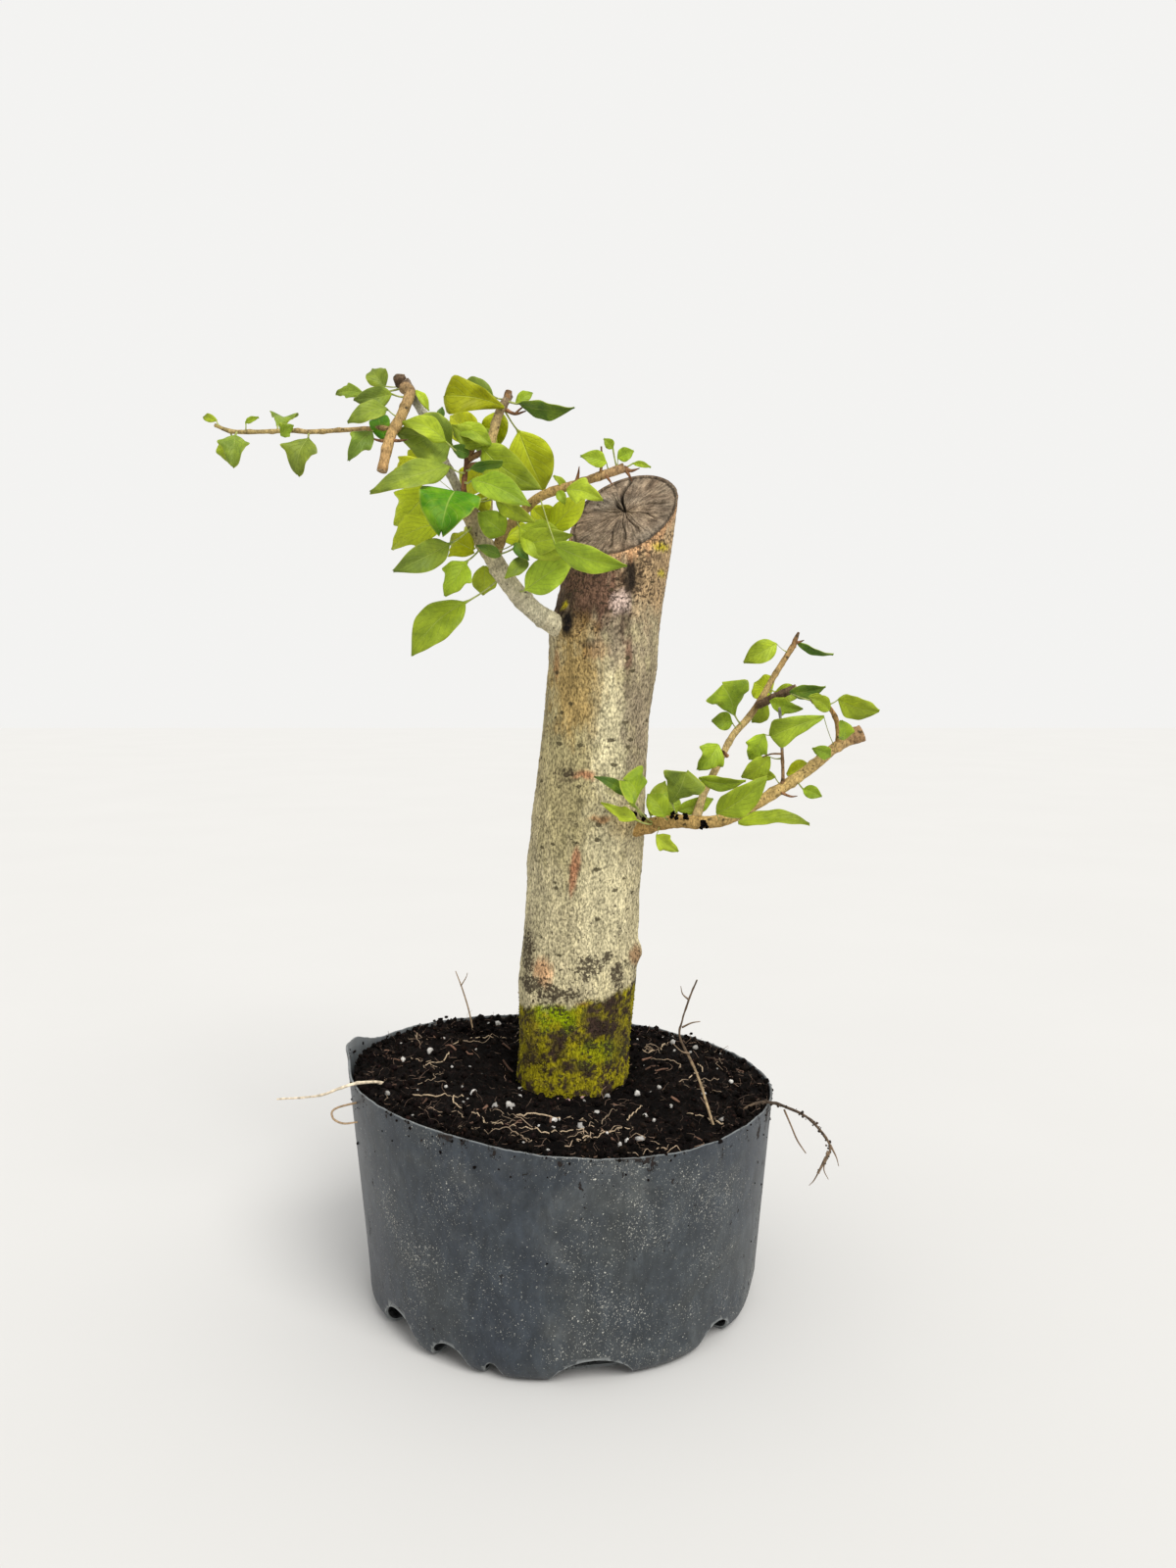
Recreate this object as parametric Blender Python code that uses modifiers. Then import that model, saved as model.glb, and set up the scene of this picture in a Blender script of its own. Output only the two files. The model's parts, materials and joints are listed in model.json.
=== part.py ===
"""Bonsai tree in a pot: a sawn stump with two leafy branches, in a cut-down nursery pot.

Metres, +Z up, pot axis on Z, the pot's foot on Z = 0, the front towards -Y.
"""

import math
from collections import namedtuple

import bmesh
import bpy
import numpy as np
from mathutils import Matrix, Vector, noise

MM = 0.001
GAP = 0.3 * MM                  # clearance between two pieces that touch

# Pot: a tapered wall, a rounded foot and a rim cut by hand with a knife.
POT_HEIGHT = 107.5 * MM         # mean height of the cut rim
RIM_RADIUS = 105 * MM
FOOT_RADIUS = 97 * MM           # outer radius where the wall meets the rounded foot
BASE_RADIUS = 88 * MM           # flat underside
FOOT_HEIGHT = 13 * MM
WALL = 1.2 * MM
RIM_TILT = 7.5 * MM             # the cut climbs this much towards RIM_TILT_ANGLE
RIM_TILT_ANGLE = 203
RIM_WAVES = (                   # angle, spread in degrees, height: a dip in front, a flap at the left
    (283, 35, -4.5 * MM),
    (177, 12, 6 * MM),
)
POT_WOBBLE = 0.7 * MM           # the thin wall isn't quite round
POT_STEPS = 72
CUTTER_REACH = 0.1              # a notch cutter runs past the foot by this share, both ways
NOTCHES = (                     # drain notches in the foot: angle, width in degrees, height
    (219, 14, 12 * MM),
    (239, 10, 9 * MM),
    (252, 4, 6 * MM),
    (279, 17, 9 * MM),
    (318, 11, 9 * MM),
    (345, 13, 8 * MM),
    (15, 12, 9 * MM),
    (48, 15, 8 * MM),
    (82, 12, 9 * MM),
    (118, 14, 8 * MM),
    (152, 12, 9 * MM),
    (186, 12, 8 * MM),
)

# Soil: fills the pot, heaped near the wall and sunk round the trunk.
SOIL_LEVEL = POT_HEIGHT - 8.5 * MM
SOIL_DROP = 1.5 * MM            # below the rim, at the wall
SOIL_MOUND = 4 * MM
SOIL_LUMPS = 1.2 * MM
LUMP_SCALE = 90                 # lumps per metre
SOIL_RINGS = 7

# Trunk: heights are above SOIL_LEVEL; widths are shares of TRUNK_RADIUS.
TRUNK_RADIUS = 28 * MM
TRUNK_HEIGHT = 287.5 * MM       # to the middle of the sawn top
TRUNK_DEPTH = 48 * MM           # of the root end in the soil
TRUNK_BACK = 20 * MM            # the trunk stands this far behind the pot's axis
SAW_NORMAL = Vector((-0.24, -0.81, 1)).normalized()
TRUNK_LINE = (                  # height, centre x, width share
    (-48, 3, 0.74),
    (-30, 4, 0.90),
    (0, 4.6, 0.99),
    (20, 5.6, 1.01),
    (50, 7.0, 1.06),
    (70, 8.5, 1.03),
    (100, 10.4, 1.01),
    (133, 12.5, 1.02),
    (157, 14.4, 0.98),
    (185, 17.0, 0.96),
    (211, 20.0, 1.00),
    (231, 21.2, 1.00),
    (250, 24.8, 0.965),
    (280, 30.0, 0.93),
    (330, 36.0, 0.92),
)
TRUNK_OVAL = 0.02               # the trunk isn't quite round, and the long way turns with height
TRUNK_SIDES = 28
TRUNK_STEP = 11 * MM            # between rings

# Branches: each side starts at a root on the trunk's skin, at this height and direction.
LEFT_HEIGHT = 227 * MM
LEFT_ANGLE = 215
RIGHT_HEIGHT = 130.5 * MM
RIGHT_ANGLE = 325

# Leaves.
LEAF_THICKNESS = 0.5 * MM
PETIOLE_WIDTH = 1.0 * MM
LEAF_GROWTH = 1.0               # scales the width of every blade

Shoot = namedtuple("Shoot", "name side parent sides colour points")
Leaf = namedtuple("Leaf", "side name twig base tip width outline roll fold", defaults=(0, 16))

# Points are (x, y, z, radius) in millimetres from the side's root on the trunk.
# A parent that isn't None is cut out of the shoot's first end, with the clearance.
SHOOTS = (
    Shoot("left_branch", "left", "trunk", 12, "pale_bark", (
        (9, 6, -3, 6), (0, 0, 3.5, 5.2), (-11.5, -6, 11, 4.8), (-22.5, -12, 22.5, 4.5),
        (-30, -16, 34.5, 4.3), (-36, -20, 45, 4.2), (-41, -24, 57, 3.9), (-42, -25, 61, 3.7))),
    Shoot("left_twig", "left", "left_branch", 8, "twig_bark", (
        (-42.5, -25, 57, 1.3), (-43, -25.5, 66, 1.2), (-42, -25.5, 74, 1.1), (-41, -25, 82, 1.6))),
    Shoot("bent_branch", "left", "left_branch", 8, "pale_bark", (
        (-40, -22, 52, 2.4), (-46, -17, 66, 2.3), (-53, -20, 80, 2.2), (-60, -27, 97, 2.2),
        (-64, -32, 105, 2.3), (-69, -35, 112, 2.6))),
    Shoot("cut_stub", "left", "bent_branch", 8, "twig_bark", (
        (-68, -36, 109, 2.3), (-65.5, -40, 105, 2.3), (-68.5, -46, 94, 2.3), (-72.5, -50, 85, 2.3),
        (-76, -54, 69, 2.2))),
    Shoot("long_twig", "left", "cut_stub", 8, "twig_bark", (
        (-71, -48, 88.5, 1.1), (-80, -46, 89, 1.1), (-91, -44, 89, 1.0), (-109, -44, 88, 1.0),
        (-118, -44, 88.5, 1.0), (-142, -44, 88, 0.9), (-152, -43, 91, 0.8))),
    Shoot("upper_shoot", "left", "left_branch", 8, "twig_bark", (
        (-35, -19, 44, 2.2), (-33, -13, 56, 2.2), (-33, -11, 70, 2.2), (-32, -11, 86, 2.2),
        (-28, -8, 103, 2.1), (-23, -4, 113, 1.9))),
    Shoot("side_shoot", "left", "left_branch", 8, "twig_bark", (
        (-29, -16, 38, 2.3), (-24, -22, 48, 2.3), (-19, -24, 52, 2.2), (-10.5, -28, 60, 2.2),
        (-2, -30, 64, 2.1), (9, -32, 67, 2.0), (19, -34, 70, 2.0), (31, -34, 74, 2.2))),
    Shoot("right_branch", "right", "trunk", 12, "warm_bark", (
        (-10, 6, -2, 4.2), (0, 0, 0, 3.9), (10, -4, 3, 3.6), (21, -8, 5, 3.3), (31.5, -12, 5, 3.1),
        (43, -14, 6.5, 3.0), (57, -16, 14, 2.9), (70, -16, 22, 2.8), (83, -16, 31, 2.7),
        (96, -14, 41.5, 2.6), (107, -12, 47, 2.7))),
    Shoot("right_shoot", "right", "right_branch", 8, "twig_bark", (
        (29, -10, 5, 2.2), (34, -6, 19, 1.9), (40, -4, 31, 1.8), (48, 0, 46, 1.7), (56, 2, 55, 1.7),
        (63, 4, 65, 1.6), (70, 6, 77, 1.5), (79, 8, 91, 1.4))),
    Shoot("end_twig", "right", "right_branch", 8, "twig_bark", (
        (98, -14, 42, 1.2), (96, -16, 55, 1.1), (91, -18, 62, 1.1), (86, -20, 64, 1.0))),
    Shoot("thin_twig", "right", "right_branch", 6, "twig_bark", (
        (70, -16, 22, 0.8), (70.5, -18, 28, 0.8), (69, -20, 50, 0.7), (68, -20, 61, 0.6))),
)

# Roots leave the soil at their first end, and two run over the rim: (x, y, z, radius) in
# millimetres, with z from SOIL_LEVEL, for a rim of ROOT_RIM. x and y follow the rim's radius.
ROOT_RIM = 105 * MM
ROOTS = (
    ("root_left", (
        (-76, -30, 8, 1.0), (-84, -37, 15, 1.0), (-93, -45, 18, 1.0), (-101, -50, 17.5, 0.9),
        (-110, -50, 14, 0.8), (-120, -48, 12, 0.6), (-132, -46, 10.5, 0.5))),
    ("root_right", (
        (81, -38, -4, 1.0), (87, -38, 3, 1.0), (93, -37, 5.3, 1.0), (99, -35, 4.8, 1.0),
        (106, -34, 2.5, 0.9), (115, -36, -1, 0.9), (122, -38, -7, 0.8), (127, -40, -16, 0.8),
        (121, -42, -27, 0.7))),
    ("root_standing", (
        (71, -61, -3, 0.8), (69, -58, 5, 0.8), (63, -46, 23, 0.8), (56, -38, 37, 0.7),
        (57, -36, 45, 0.6), (60, -36, 55, 0.6), (64, -34, 64, 0.5))),
)

# base is where the petiole meets the blade; both points are in millimetres from the side's root.
# roll turns the blade about its midrib, in degrees, from facing the front, and fold is how far
# each half rises from the midrib.
LEAVES = (
    Leaf("left", "far_round", "long_twig", (-145, -42, 86), (-148, -33, 74), 11, "oval", 10),
    Leaf("left", "far_lobed", "long_twig", (-142, -47, 86), (-141, -57, 72), 15, "lobed", -8),
    Leaf("left", "upright", "long_twig", (-124, -43, 91), (-124, -31, 98), 14, "delta", 8),
    Leaf("left", "hanging", "long_twig", (-110, -45, 85), (-114, -52, 69), 18, "lobed", 5),
    Leaf("left", "inner", "long_twig", (-81, -49, 87), (-89, -58, 74), 12, "lobed", -12),
    Leaf("left", "stub_round", "bent_branch", (-79, -27, 112), (-85, -24, 121), 11, "oval", 10),
    Leaf("left", "stub_mid", "cut_stub", (-73, -42, 105), (-88, -50, 101), 10, "oval", -10),
    Leaf("left", "stub_low", "cut_stub", (-74, -50, 97), (-89, -60, 90), 10, "oval", 12),
    Leaf("left", "big_olive", "left_twig", (-48, -31, 85), (-69, -47, 87), 26, "oval", -6, 24),
    Leaf("left", "long_folded", "left_twig", (-48, -38, 74), (-79, -60, 62), 14, "oval", 16),
    Leaf("left", "under_lime", "left_branch", (-58, -26, 66), (-78, -16, 50), 23, "lobed"),
    Leaf("left", "emerald", "left_branch", (-45, -44, 62), (-49, -61, 45), 29, "wide"),
    Leaf("left", "low_lime", "left_branch", (-52, -30, 50), (-79, -22, 39), 18, "lobed", 6),
    Leaf("left", "low_dark", "left_branch", (-48, -42, 39), (-70, -55, 26), 14, "oval", -14),
    Leaf("left", "yellow", "left_branch", (-39, -26, 38), (-51, -18, 45), 18, "lobed"),
    Leaf("left", "hang_lobed", "left_branch", (-42, -31, 32), (-51, -38, 17), 17, "lobed", 8),
    Leaf("left", "hang_lime", "left_branch", (-35, -10, 32), (-36, -5, 18), 13, "oval", -8),
    Leaf("left", "lowest", "left_branch", (-44, -18, 14), (-68, -28, -10), 19, "oval", 8),
    Leaf("left", "sail", "upper_shoot", (-25, -11, 106), (-51, -22, 109), 19, "delta", -8),
    Leaf("left", "right_tip", "upper_shoot", (-18, -9, 108), (7, -19, 102), 11, "oval", 42),
    Leaf("left", "big_lime", "upper_shoot", (-19, 7, 98), (-7, 17, 71), 25, "oval"),
    Leaf("left", "behind_shoot", "upper_shoot", (-28, 2, 107), (-32, 4, 89), 14, "oval"),
    Leaf("left", "broad", "upper_shoot", (-34, -30, 84), (-9, -43, 64), 18, "oval", 12),
    Leaf("left", "wing_olive", "left_twig", (-38, -38, 68), (-12, -52, 56), 14, "oval", -14),
    Leaf("left", "near_lime", "side_shoot", (-17, -28, 48), (6, -33, 35), 19, "oval"),
    Leaf("left", "pointed", "side_shoot", (0, -46, 38), (30, -60, 27), 13, "oval", 10),
    Leaf("left", "midrib", "left_branch", (-15, -19, 20), (7, -27, 34), 17, "oval"),
    Leaf("left", "behind_lime", "side_shoot", (-3, -18, 48), (13, -22, 63), 14, "oval"),
    Leaf("left", "pale", "side_shoot", (5, -41, 63), (20, -51, 58), 13, "lobed"),
    Leaf("right", "top", "right_shoot", (70, 4, 92), (54, 2, 83), 12, "oval", 6),
    Leaf("right", "delta", "right_shoot", (48, -6, 58), (42, -15, 71), 24, "delta"),
    Leaf("right", "lobed", "right_shoot", (40, -10, 43), (31, -15, 31), 17, "lobed", -8),
    Leaf("right", "bright", "right_shoot", (69, 12, 67), (61, 18, 73), 15, "oval"),
    Leaf("right", "lime_low", "right_shoot", (67, 12, 62), (60, 17, 52), 9, "oval"),
    Leaf("right", "east", "right_shoot", (66, -4, 64), (80, -12, 60), 10, "lobed", 12),
    Leaf("right", "big_east", "end_twig", (95, -24, 65), (112, -32, 59), 13, "oval", 14),
    Leaf("right", "broad", "right_branch", (88, -26, 57), (63, -33, 48), 15, "delta", -6),
    Leaf("right", "folded", "thin_twig", (62, -14, 48), (55, -8, 35), 13, "lobed", 10),
    Leaf("right", "front", "right_branch", (38, -25, 11), (59, -40, 28), 15, "oval", 4),
    Leaf("right", "under", "right_branch", (47, -35, 8), (78, -45, 11), 10, "oval", -50),
    Leaf("right", "triangle", "right_branch", (17, -19, 16), (23, -28, 30), 23, "delta"),
    Leaf("right", "over_trunk", "right_branch", (-1, -24, 15), (-3, -34, 27), 26, "delta"),
)

# Half outlines: (share of the length, share of the half width); sweep carries the edge
# forward of the midrib, so a wide place becomes a lobe that points ahead.
OUTLINES = {
    "oval": (((0, 0.1), (0.08, 0.5), (0.22, 0.87), (0.4, 1), (0.6, 0.92), (0.77, 0.64),
              (0.91, 0.28), (1, 0.04)), 0.03),
    "lobed": (((0, 0.1), (0.09, 0.55), (0.24, 0.82), (0.38, 1), (0.47, 0.72), (0.63, 0.56),
               (0.83, 0.35), (1, 0.04)), 0.12),
    "delta": (((0, 0.1), (0.2, 0.34), (0.45, 0.62), (0.68, 0.86), (0.84, 1), (0.92, 0.62),
               (0.97, 0.3), (1, 0.04)), 0.08),
    "wide": (((0, 0.1), (0.06, 0.6), (0.15, 1), (0.28, 0.9), (0.46, 0.74), (0.7, 0.48),
              (0.9, 0.2), (1, 0.04)), 0.02),
}
LEAF_ARCH = 0.07                # of the blade's length, that its middle stands proud

COLOURS = {                     # base colour, roughness
    "pot_plastic": ((0.055, 0.062, 0.07), 0.5),
    "peat": ((0.018, 0.011, 0.008), 0.95),
    "trunk_bark": ((0.36, 0.31, 0.19), 0.85),
    "pale_bark": ((0.45, 0.39, 0.24), 0.8),
    "warm_bark": ((0.36, 0.2, 0.08), 0.8),
    "twig_bark": ((0.34, 0.21, 0.1), 0.8),
    "root_skin": ((0.5, 0.38, 0.24), 0.85),
    "leaf_green": ((0.16, 0.32, 0.03), 0.45),
}


def clear_scene():
    for obj in list(bpy.data.objects):
        bpy.data.objects.remove(obj, do_unlink=True)
    for collection in list(bpy.data.collections):
        bpy.data.collections.remove(collection)


def new_collection(name):
    collection = bpy.data.collections.new(name)
    bpy.context.scene.collection.children.link(collection)
    return collection


def new_material(name):
    colour, roughness = COLOURS[name]
    material = bpy.data.materials.new(name)
    material.use_nodes = True
    shader = material.node_tree.nodes["Principled BSDF"]
    shader.inputs["Base Color"].default_value = (*colour, 1)
    shader.inputs["Roughness"].default_value = roughness
    material.diffuse_color = (*colour, 1)
    return material


def add_part(name, mesh, material):
    """One visible sub-part, in the object's own collection."""
    obj = bpy.data.objects.new(name, mesh)
    mesh.materials.clear()
    mesh.materials.append(bpy.data.materials[material])
    bpy.data.collections["bonsai_in_pot"].objects.link(obj)
    return obj


def add_helper(name, mesh):
    """A cutter: never rendered, and drawn as wire."""
    obj = bpy.data.objects.new(name, mesh)
    obj.display_type = "WIRE"
    obj.hide_render = True
    bpy.data.collections["cutters"].objects.link(obj)
    return obj


def cut(obj, cutter):
    modifier = obj.modifiers.new("cut " + cutter.name, "BOOLEAN")
    modifier.operation = "DIFFERENCE"
    modifier.solver = "EXACT"
    modifier.object = cutter


def evaluated_mesh(obj):
    """The object's mesh with its modifiers applied and its doubled points joined; the object goes."""
    graph = bpy.context.evaluated_depsgraph_get()
    mesh = bpy.data.meshes.new_from_object(obj.evaluated_get(graph))
    mesh.name = obj.name
    bpy.data.objects.remove(obj, do_unlink=True)
    shape = bmesh.new()
    shape.from_mesh(mesh)
    bmesh.ops.remove_doubles(shape, verts=shape.verts, dist=0.01 * MM)
    bmesh.ops.recalc_face_normals(shape, faces=shape.faces)
    shape.to_mesh(mesh)
    shape.free()
    return mesh


def turned(name, profile, steps):
    """A closed solid from (radius, height) points that start and end on the Z axis."""
    mesh = bpy.data.meshes.new(name)
    points = [(radius, 0, height) for radius, height in profile]
    mesh.from_pydata(points, [(i, i + 1) for i in range(len(points) - 1)], [])
    obj = add_helper(name + "_profile", mesh)
    screw = obj.modifiers.new("turn", "SCREW")
    screw.steps = steps
    screw.render_steps = steps
    screw.use_merge_vertices = True
    screw.merge_threshold = 0.01 * MM
    bpy.context.view_layer.update()
    return evaluated_mesh(obj)


def lofted(name, rings):
    """A closed solid through rings of equal size, capped at both ends."""
    shape = bmesh.new()
    rows = [[shape.verts.new(point) for point in ring] for ring in rings]
    for row, following in zip(rows, rows[1:]):
        for i in range(len(row)):
            j = (i + 1) % len(row)
            shape.faces.new((row[i], row[j], following[j], following[i]))
    shape.faces.new(reversed(rows[0]))
    shape.faces.new(rows[-1])
    bmesh.ops.recalc_face_normals(shape, faces=shape.faces)
    mesh = bpy.data.meshes.new(name)
    shape.to_mesh(mesh)
    shape.free()
    return mesh


def smooth_path(points, per_span):
    """Catmull-Rom points through (x, y, z, radius) rows."""
    rows = np.array(points, float)
    rows = np.vstack([2 * rows[0] - rows[1], rows, 2 * rows[-1] - rows[-2]])
    found = []
    for i in range(1, len(rows) - 2):
        before, here, after, later = rows[i - 1:i + 3]
        for t in np.arange(per_span) / per_span:
            found.append(0.5 * (2 * here + (after - before) * t
                                + (2 * before - 5 * here + 4 * after - later) * t ** 2
                                + (3 * here - before - 3 * after + later) * t ** 3))
    found.append(rows[-2])
    return np.array(found)


def tube(name, path, sides, extra=0.0):
    """A capped tube along (x, y, z, radius) rows in metres, from a bevelled curve."""
    curve = bpy.data.curves.new(name, "CURVE")
    curve.dimensions = "3D"
    curve.bevel_depth = 1
    curve.bevel_resolution = sides // 2 - 2
    curve.use_fill_caps = True
    spline = curve.splines.new("POLY")
    spline.points.add(len(path) - 1)
    for point, (x, y, z, radius) in zip(spline.points, path):
        point.co = (x, y, z, 1)
        point.radius = radius + extra
    obj = add_helper(name + "_guide", curve)
    bpy.context.view_layer.update()
    return evaluated_mesh(obj)


# ---- pot and soil ----

def rim_height(angle, with_flap=True):
    """Height of the cut rim at an angle in degrees."""
    height = POT_HEIGHT + RIM_TILT * math.cos(math.radians(angle - RIM_TILT_ANGLE))
    for centre, spread, rise in RIM_WAVES:
        away = (angle - centre + 180) % 360 - 180
        if rise < 0 or with_flap:
            height += rise * math.exp(-abs(away / spread) ** 3)
    return height


def wall_radius(height):
    """Outer radius of the tapered wall."""
    share = (height - FOOT_HEIGHT) / (POT_HEIGHT - FOOT_HEIGHT)
    return FOOT_RADIUS + (RIM_RADIUS - FOOT_RADIUS) * share


def wobble(angle, height):
    """How far the thin wall stands out of round; nothing at the foot."""
    share = max(0.0, height - FOOT_HEIGHT) / POT_HEIGHT
    return POT_WOBBLE * share * (math.sin(math.radians(2 * angle + 40))
                                 + 0.5 * math.sin(math.radians(5 * angle)))


def wall_profile(inset, wall_steps=5, foot_steps=5):
    """(radius, height) points from the middle of the base to the top of the wall."""
    points = [(0, inset), (BASE_RADIUS * 0.5, inset)]
    for i in range(foot_steps):
        turn = math.radians(90 * i / foot_steps)
        points.append((BASE_RADIUS + (FOOT_RADIUS - BASE_RADIUS - inset) * math.sin(turn),
                       FOOT_HEIGHT - (FOOT_HEIGHT - inset) * math.cos(turn)))
    for i in range(wall_steps + 1):
        height = FOOT_HEIGHT + (POT_HEIGHT - FOOT_HEIGHT) * i / wall_steps
        points.append((wall_radius(height) - inset, height))
    return points


def shape_wall(co, top):
    """Stretch a wall point so that POT_HEIGHT lands on top, and keep it on the tapered wall."""
    radius = math.hypot(co.x, co.y)
    if co.z < FOOT_HEIGHT or radius < 1e-6:
        return
    angle = math.degrees(math.atan2(co.y, co.x))
    inset = wall_radius(co.z) - radius
    share = (co.z - FOOT_HEIGHT) / (POT_HEIGHT - FOOT_HEIGHT)
    co.z = FOOT_HEIGHT + share * (top(angle) - FOOT_HEIGHT)
    radius_now = wall_radius(co.z) - inset + wobble(angle, co.z)
    co.x *= radius_now / radius
    co.y *= radius_now / radius


def notch_cutter():
    """Rounded wedges through the foot, all in one mesh."""
    shape = bmesh.new()
    inner = BASE_RADIUS * (1 - CUTTER_REACH)
    outer = FOOT_RADIUS * (1 + CUTTER_REACH)
    for angle, width, height in NOTCHES:
        half_width = math.radians(width / 2) * FOOT_RADIUS
        made = bmesh.ops.create_cone(shape, cap_ends=True, segments=16, radius1=1, radius2=1,
                                     depth=outer - inner)
        place = (Matrix.Rotation(math.radians(angle), 4, "Z")
                 @ Matrix.Translation(((inner + outer) / 2, 0, 0))
                 @ Matrix.Diagonal((1, half_width, height, 1))
                 @ Matrix.Rotation(math.radians(90), 4, "Y"))
        bmesh.ops.transform(shape, matrix=place, verts=made["verts"])
    mesh = bpy.data.meshes.new("notch_cutter")
    shape.to_mesh(mesh)
    shape.free()
    return add_helper("notch_cutter", mesh)


def make_pot():
    profile = wall_profile(0) + list(reversed(wall_profile(WALL)))
    mesh = turned("pot", profile, POT_STEPS)
    for vertex in mesh.vertices:
        shape_wall(vertex.co, rim_height)
    cut(add_part("pot", mesh, "pot_plastic"), notch_cutter())


def soil_top(angle):
    return rim_height(angle, with_flap=False) - SOIL_DROP


def soil_height(x, y):
    """Height of the soil's surface, from the trunk out to the wall."""
    angle = math.degrees(math.atan2(y, x))
    share = min(1.0, math.hypot(x, y) / RIM_RADIUS)
    climb = max(0.0, (share - 0.25) / 0.75)
    mound = SOIL_MOUND * math.sin(math.pi * climb ** 0.8)
    return SOIL_LEVEL + (soil_top(angle) - SOIL_LEVEL) * climb ** 1.2 + mound


def soil_mesh(name, inset, raised):
    """The soil as a solid: inset from the pot's outside, with its surface raised."""
    side = wall_profile(inset)
    top = [(side[-1][0] * (1 - i / SOIL_RINGS), POT_HEIGHT) for i in range(1, SOIL_RINGS + 1)]
    mesh = turned(name, side + top, POT_STEPS // 2)
    edge = side[-1][0] * (1 - 0.5 / SOIL_RINGS)
    for vertex in mesh.vertices:
        co = vertex.co
        if co.z > POT_HEIGHT - GAP and math.hypot(co.x, co.y) < edge:
            lump = SOIL_LUMPS * noise.noise(co * LUMP_SCALE)
            co.z = soil_height(co.x, co.y) + lump + raised
        else:
            shape_wall(co, lambda angle: soil_top(angle) + raised)
    return mesh


def make_soil():
    soil = add_part("soil", soil_mesh("soil", WALL + GAP, 0), "peat")
    cut(soil, add_helper("trunk_socket", trunk_mesh("trunk_socket", GAP)))


# ---- trunk, branches and roots ----

def trunk_centre(height):
    heights, centres, _ = zip(*TRUNK_LINE)
    return Vector((np.interp(height / MM, heights, centres) * MM, TRUNK_BACK, SOIL_LEVEL + height))


def trunk_radius(height):
    heights, _, shares = zip(*TRUNK_LINE)
    return TRUNK_RADIUS * float(np.interp(height / MM, heights, shares))


def trunk_mesh(name, extra):
    """The whole trunk before sawing, grown by extra all round."""
    low = -TRUNK_DEPTH - extra
    high = TRUNK_HEIGHT + 1.5 * TRUNK_RADIUS
    rings = []
    for height in np.linspace(low, high, math.ceil((high - low) / TRUNK_STEP) + 1):
        centre = trunk_centre(height)
        ring = []
        for i in range(TRUNK_SIDES):
            angle = 2 * math.pi * i / TRUNK_SIDES
            oval = 1 + TRUNK_OVAL * math.sin(2 * angle + height * 20)
            radius = trunk_radius(height) * oval + extra
            ring.append(centre + radius * Vector((math.cos(angle), math.sin(angle), 0)))
        rings.append(ring)
    return lofted(name, rings)


def make_trunk():
    shape = bmesh.new()
    shape.from_mesh(trunk_mesh("trunk", 0))
    sawn = bmesh.ops.bisect_plane(shape, geom=shape.verts[:] + shape.edges[:] + shape.faces[:],
                                  plane_co=trunk_centre(TRUNK_HEIGHT), plane_no=SAW_NORMAL,
                                  clear_outer=True)
    rim = [item for item in sawn["geom_cut"] if isinstance(item, bmesh.types.BMEdge)]
    bmesh.ops.contextual_create(shape, geom=rim)
    bmesh.ops.recalc_face_normals(shape, faces=shape.faces)
    mesh = bpy.data.meshes.new("trunk")
    shape.to_mesh(mesh)
    shape.free()
    add_part("trunk", mesh, "trunk_bark")


def side_root(side):
    """The point on the trunk's skin that a side's branches are measured from."""
    height, angle = {"left": (LEFT_HEIGHT, LEFT_ANGLE), "right": (RIGHT_HEIGHT, RIGHT_ANGLE)}[side]
    out = Vector((math.cos(math.radians(angle)), math.sin(math.radians(angle)), 0))
    return trunk_centre(height) + out * trunk_radius(height)


def placed(points, origin):
    """Rows of (x, y, z, radius) in millimetres, moved to the origin, in metres."""
    rows = np.array(points, float) * MM
    rows[:, :3] += origin
    return rows


def shoot_path(shoot):
    return placed(smooth_path(shoot.points, 2), side_root(shoot.side))


def make_shoots():
    cutters = {"trunk": add_helper("trunk_cutter", trunk_mesh("trunk_cutter", GAP))}
    for shoot in SHOOTS:
        path = shoot_path(shoot)
        obj = add_part(shoot.name, tube(shoot.name, path, shoot.sides), shoot.colour)
        cut(obj, cutters[shoot.parent])
        grown = tube(shoot.name + "_cutter", path, shoot.sides, GAP)
        cutters[shoot.name] = add_helper(shoot.name + "_cutter", grown)


def make_roots():
    origin = (0, 0, SOIL_LEVEL)
    surface = add_helper("soil_cutter", soil_mesh("soil_cutter", WALL + GAP, GAP))
    for name, points in ROOTS:
        path = placed(smooth_path(points, 2), origin)
        path[:, :2] *= RIM_RADIUS / ROOT_RIM
        cut(add_part(name, tube(name, path, 6), "root_skin"), surface)


# ---- leaves ----

def nearest_on(path, point):
    """The nearest point of a path and its radius there, leaving out the very end of the path."""
    best = None
    for start, end in zip(path, path[1:-1]):
        run = end - start
        share = np.clip(np.dot(point - start[:3], run[:3]) / np.dot(run[:3], run[:3]), 0, 1)
        found = start + share * run
        gap = np.linalg.norm(point - found[:3])
        if best is None or gap < best[0]:
            best = (gap, Vector(found[:3]), found[3])
    return best[1], best[2]


def leaf_frame(base, tip, roll):
    """Along the midrib, across the blade, and out of its face, which looks to the front."""
    along = (tip - base).normalized()
    out = (Vector((0, -1, 0)) - along * -along.y).normalized()
    out = Matrix.Rotation(math.radians(roll), 3, along) @ out
    return along, along.cross(out), out


def blade_ring(centre, across, along, out, half_width, sweep, fold):
    """Six points round a blade: left, middle and right on the face, and back along the underside."""
    rise = math.radians(fold)
    edge = (across * half_width * math.cos(rise), out * half_width * math.sin(rise) + along * sweep)
    line = [centre - edge[0] + edge[1], centre, centre + edge[0] + edge[1]]
    half = out * LEAF_THICKNESS / 2
    return [point + half for point in line] + [point - half for point in reversed(line)]


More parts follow.
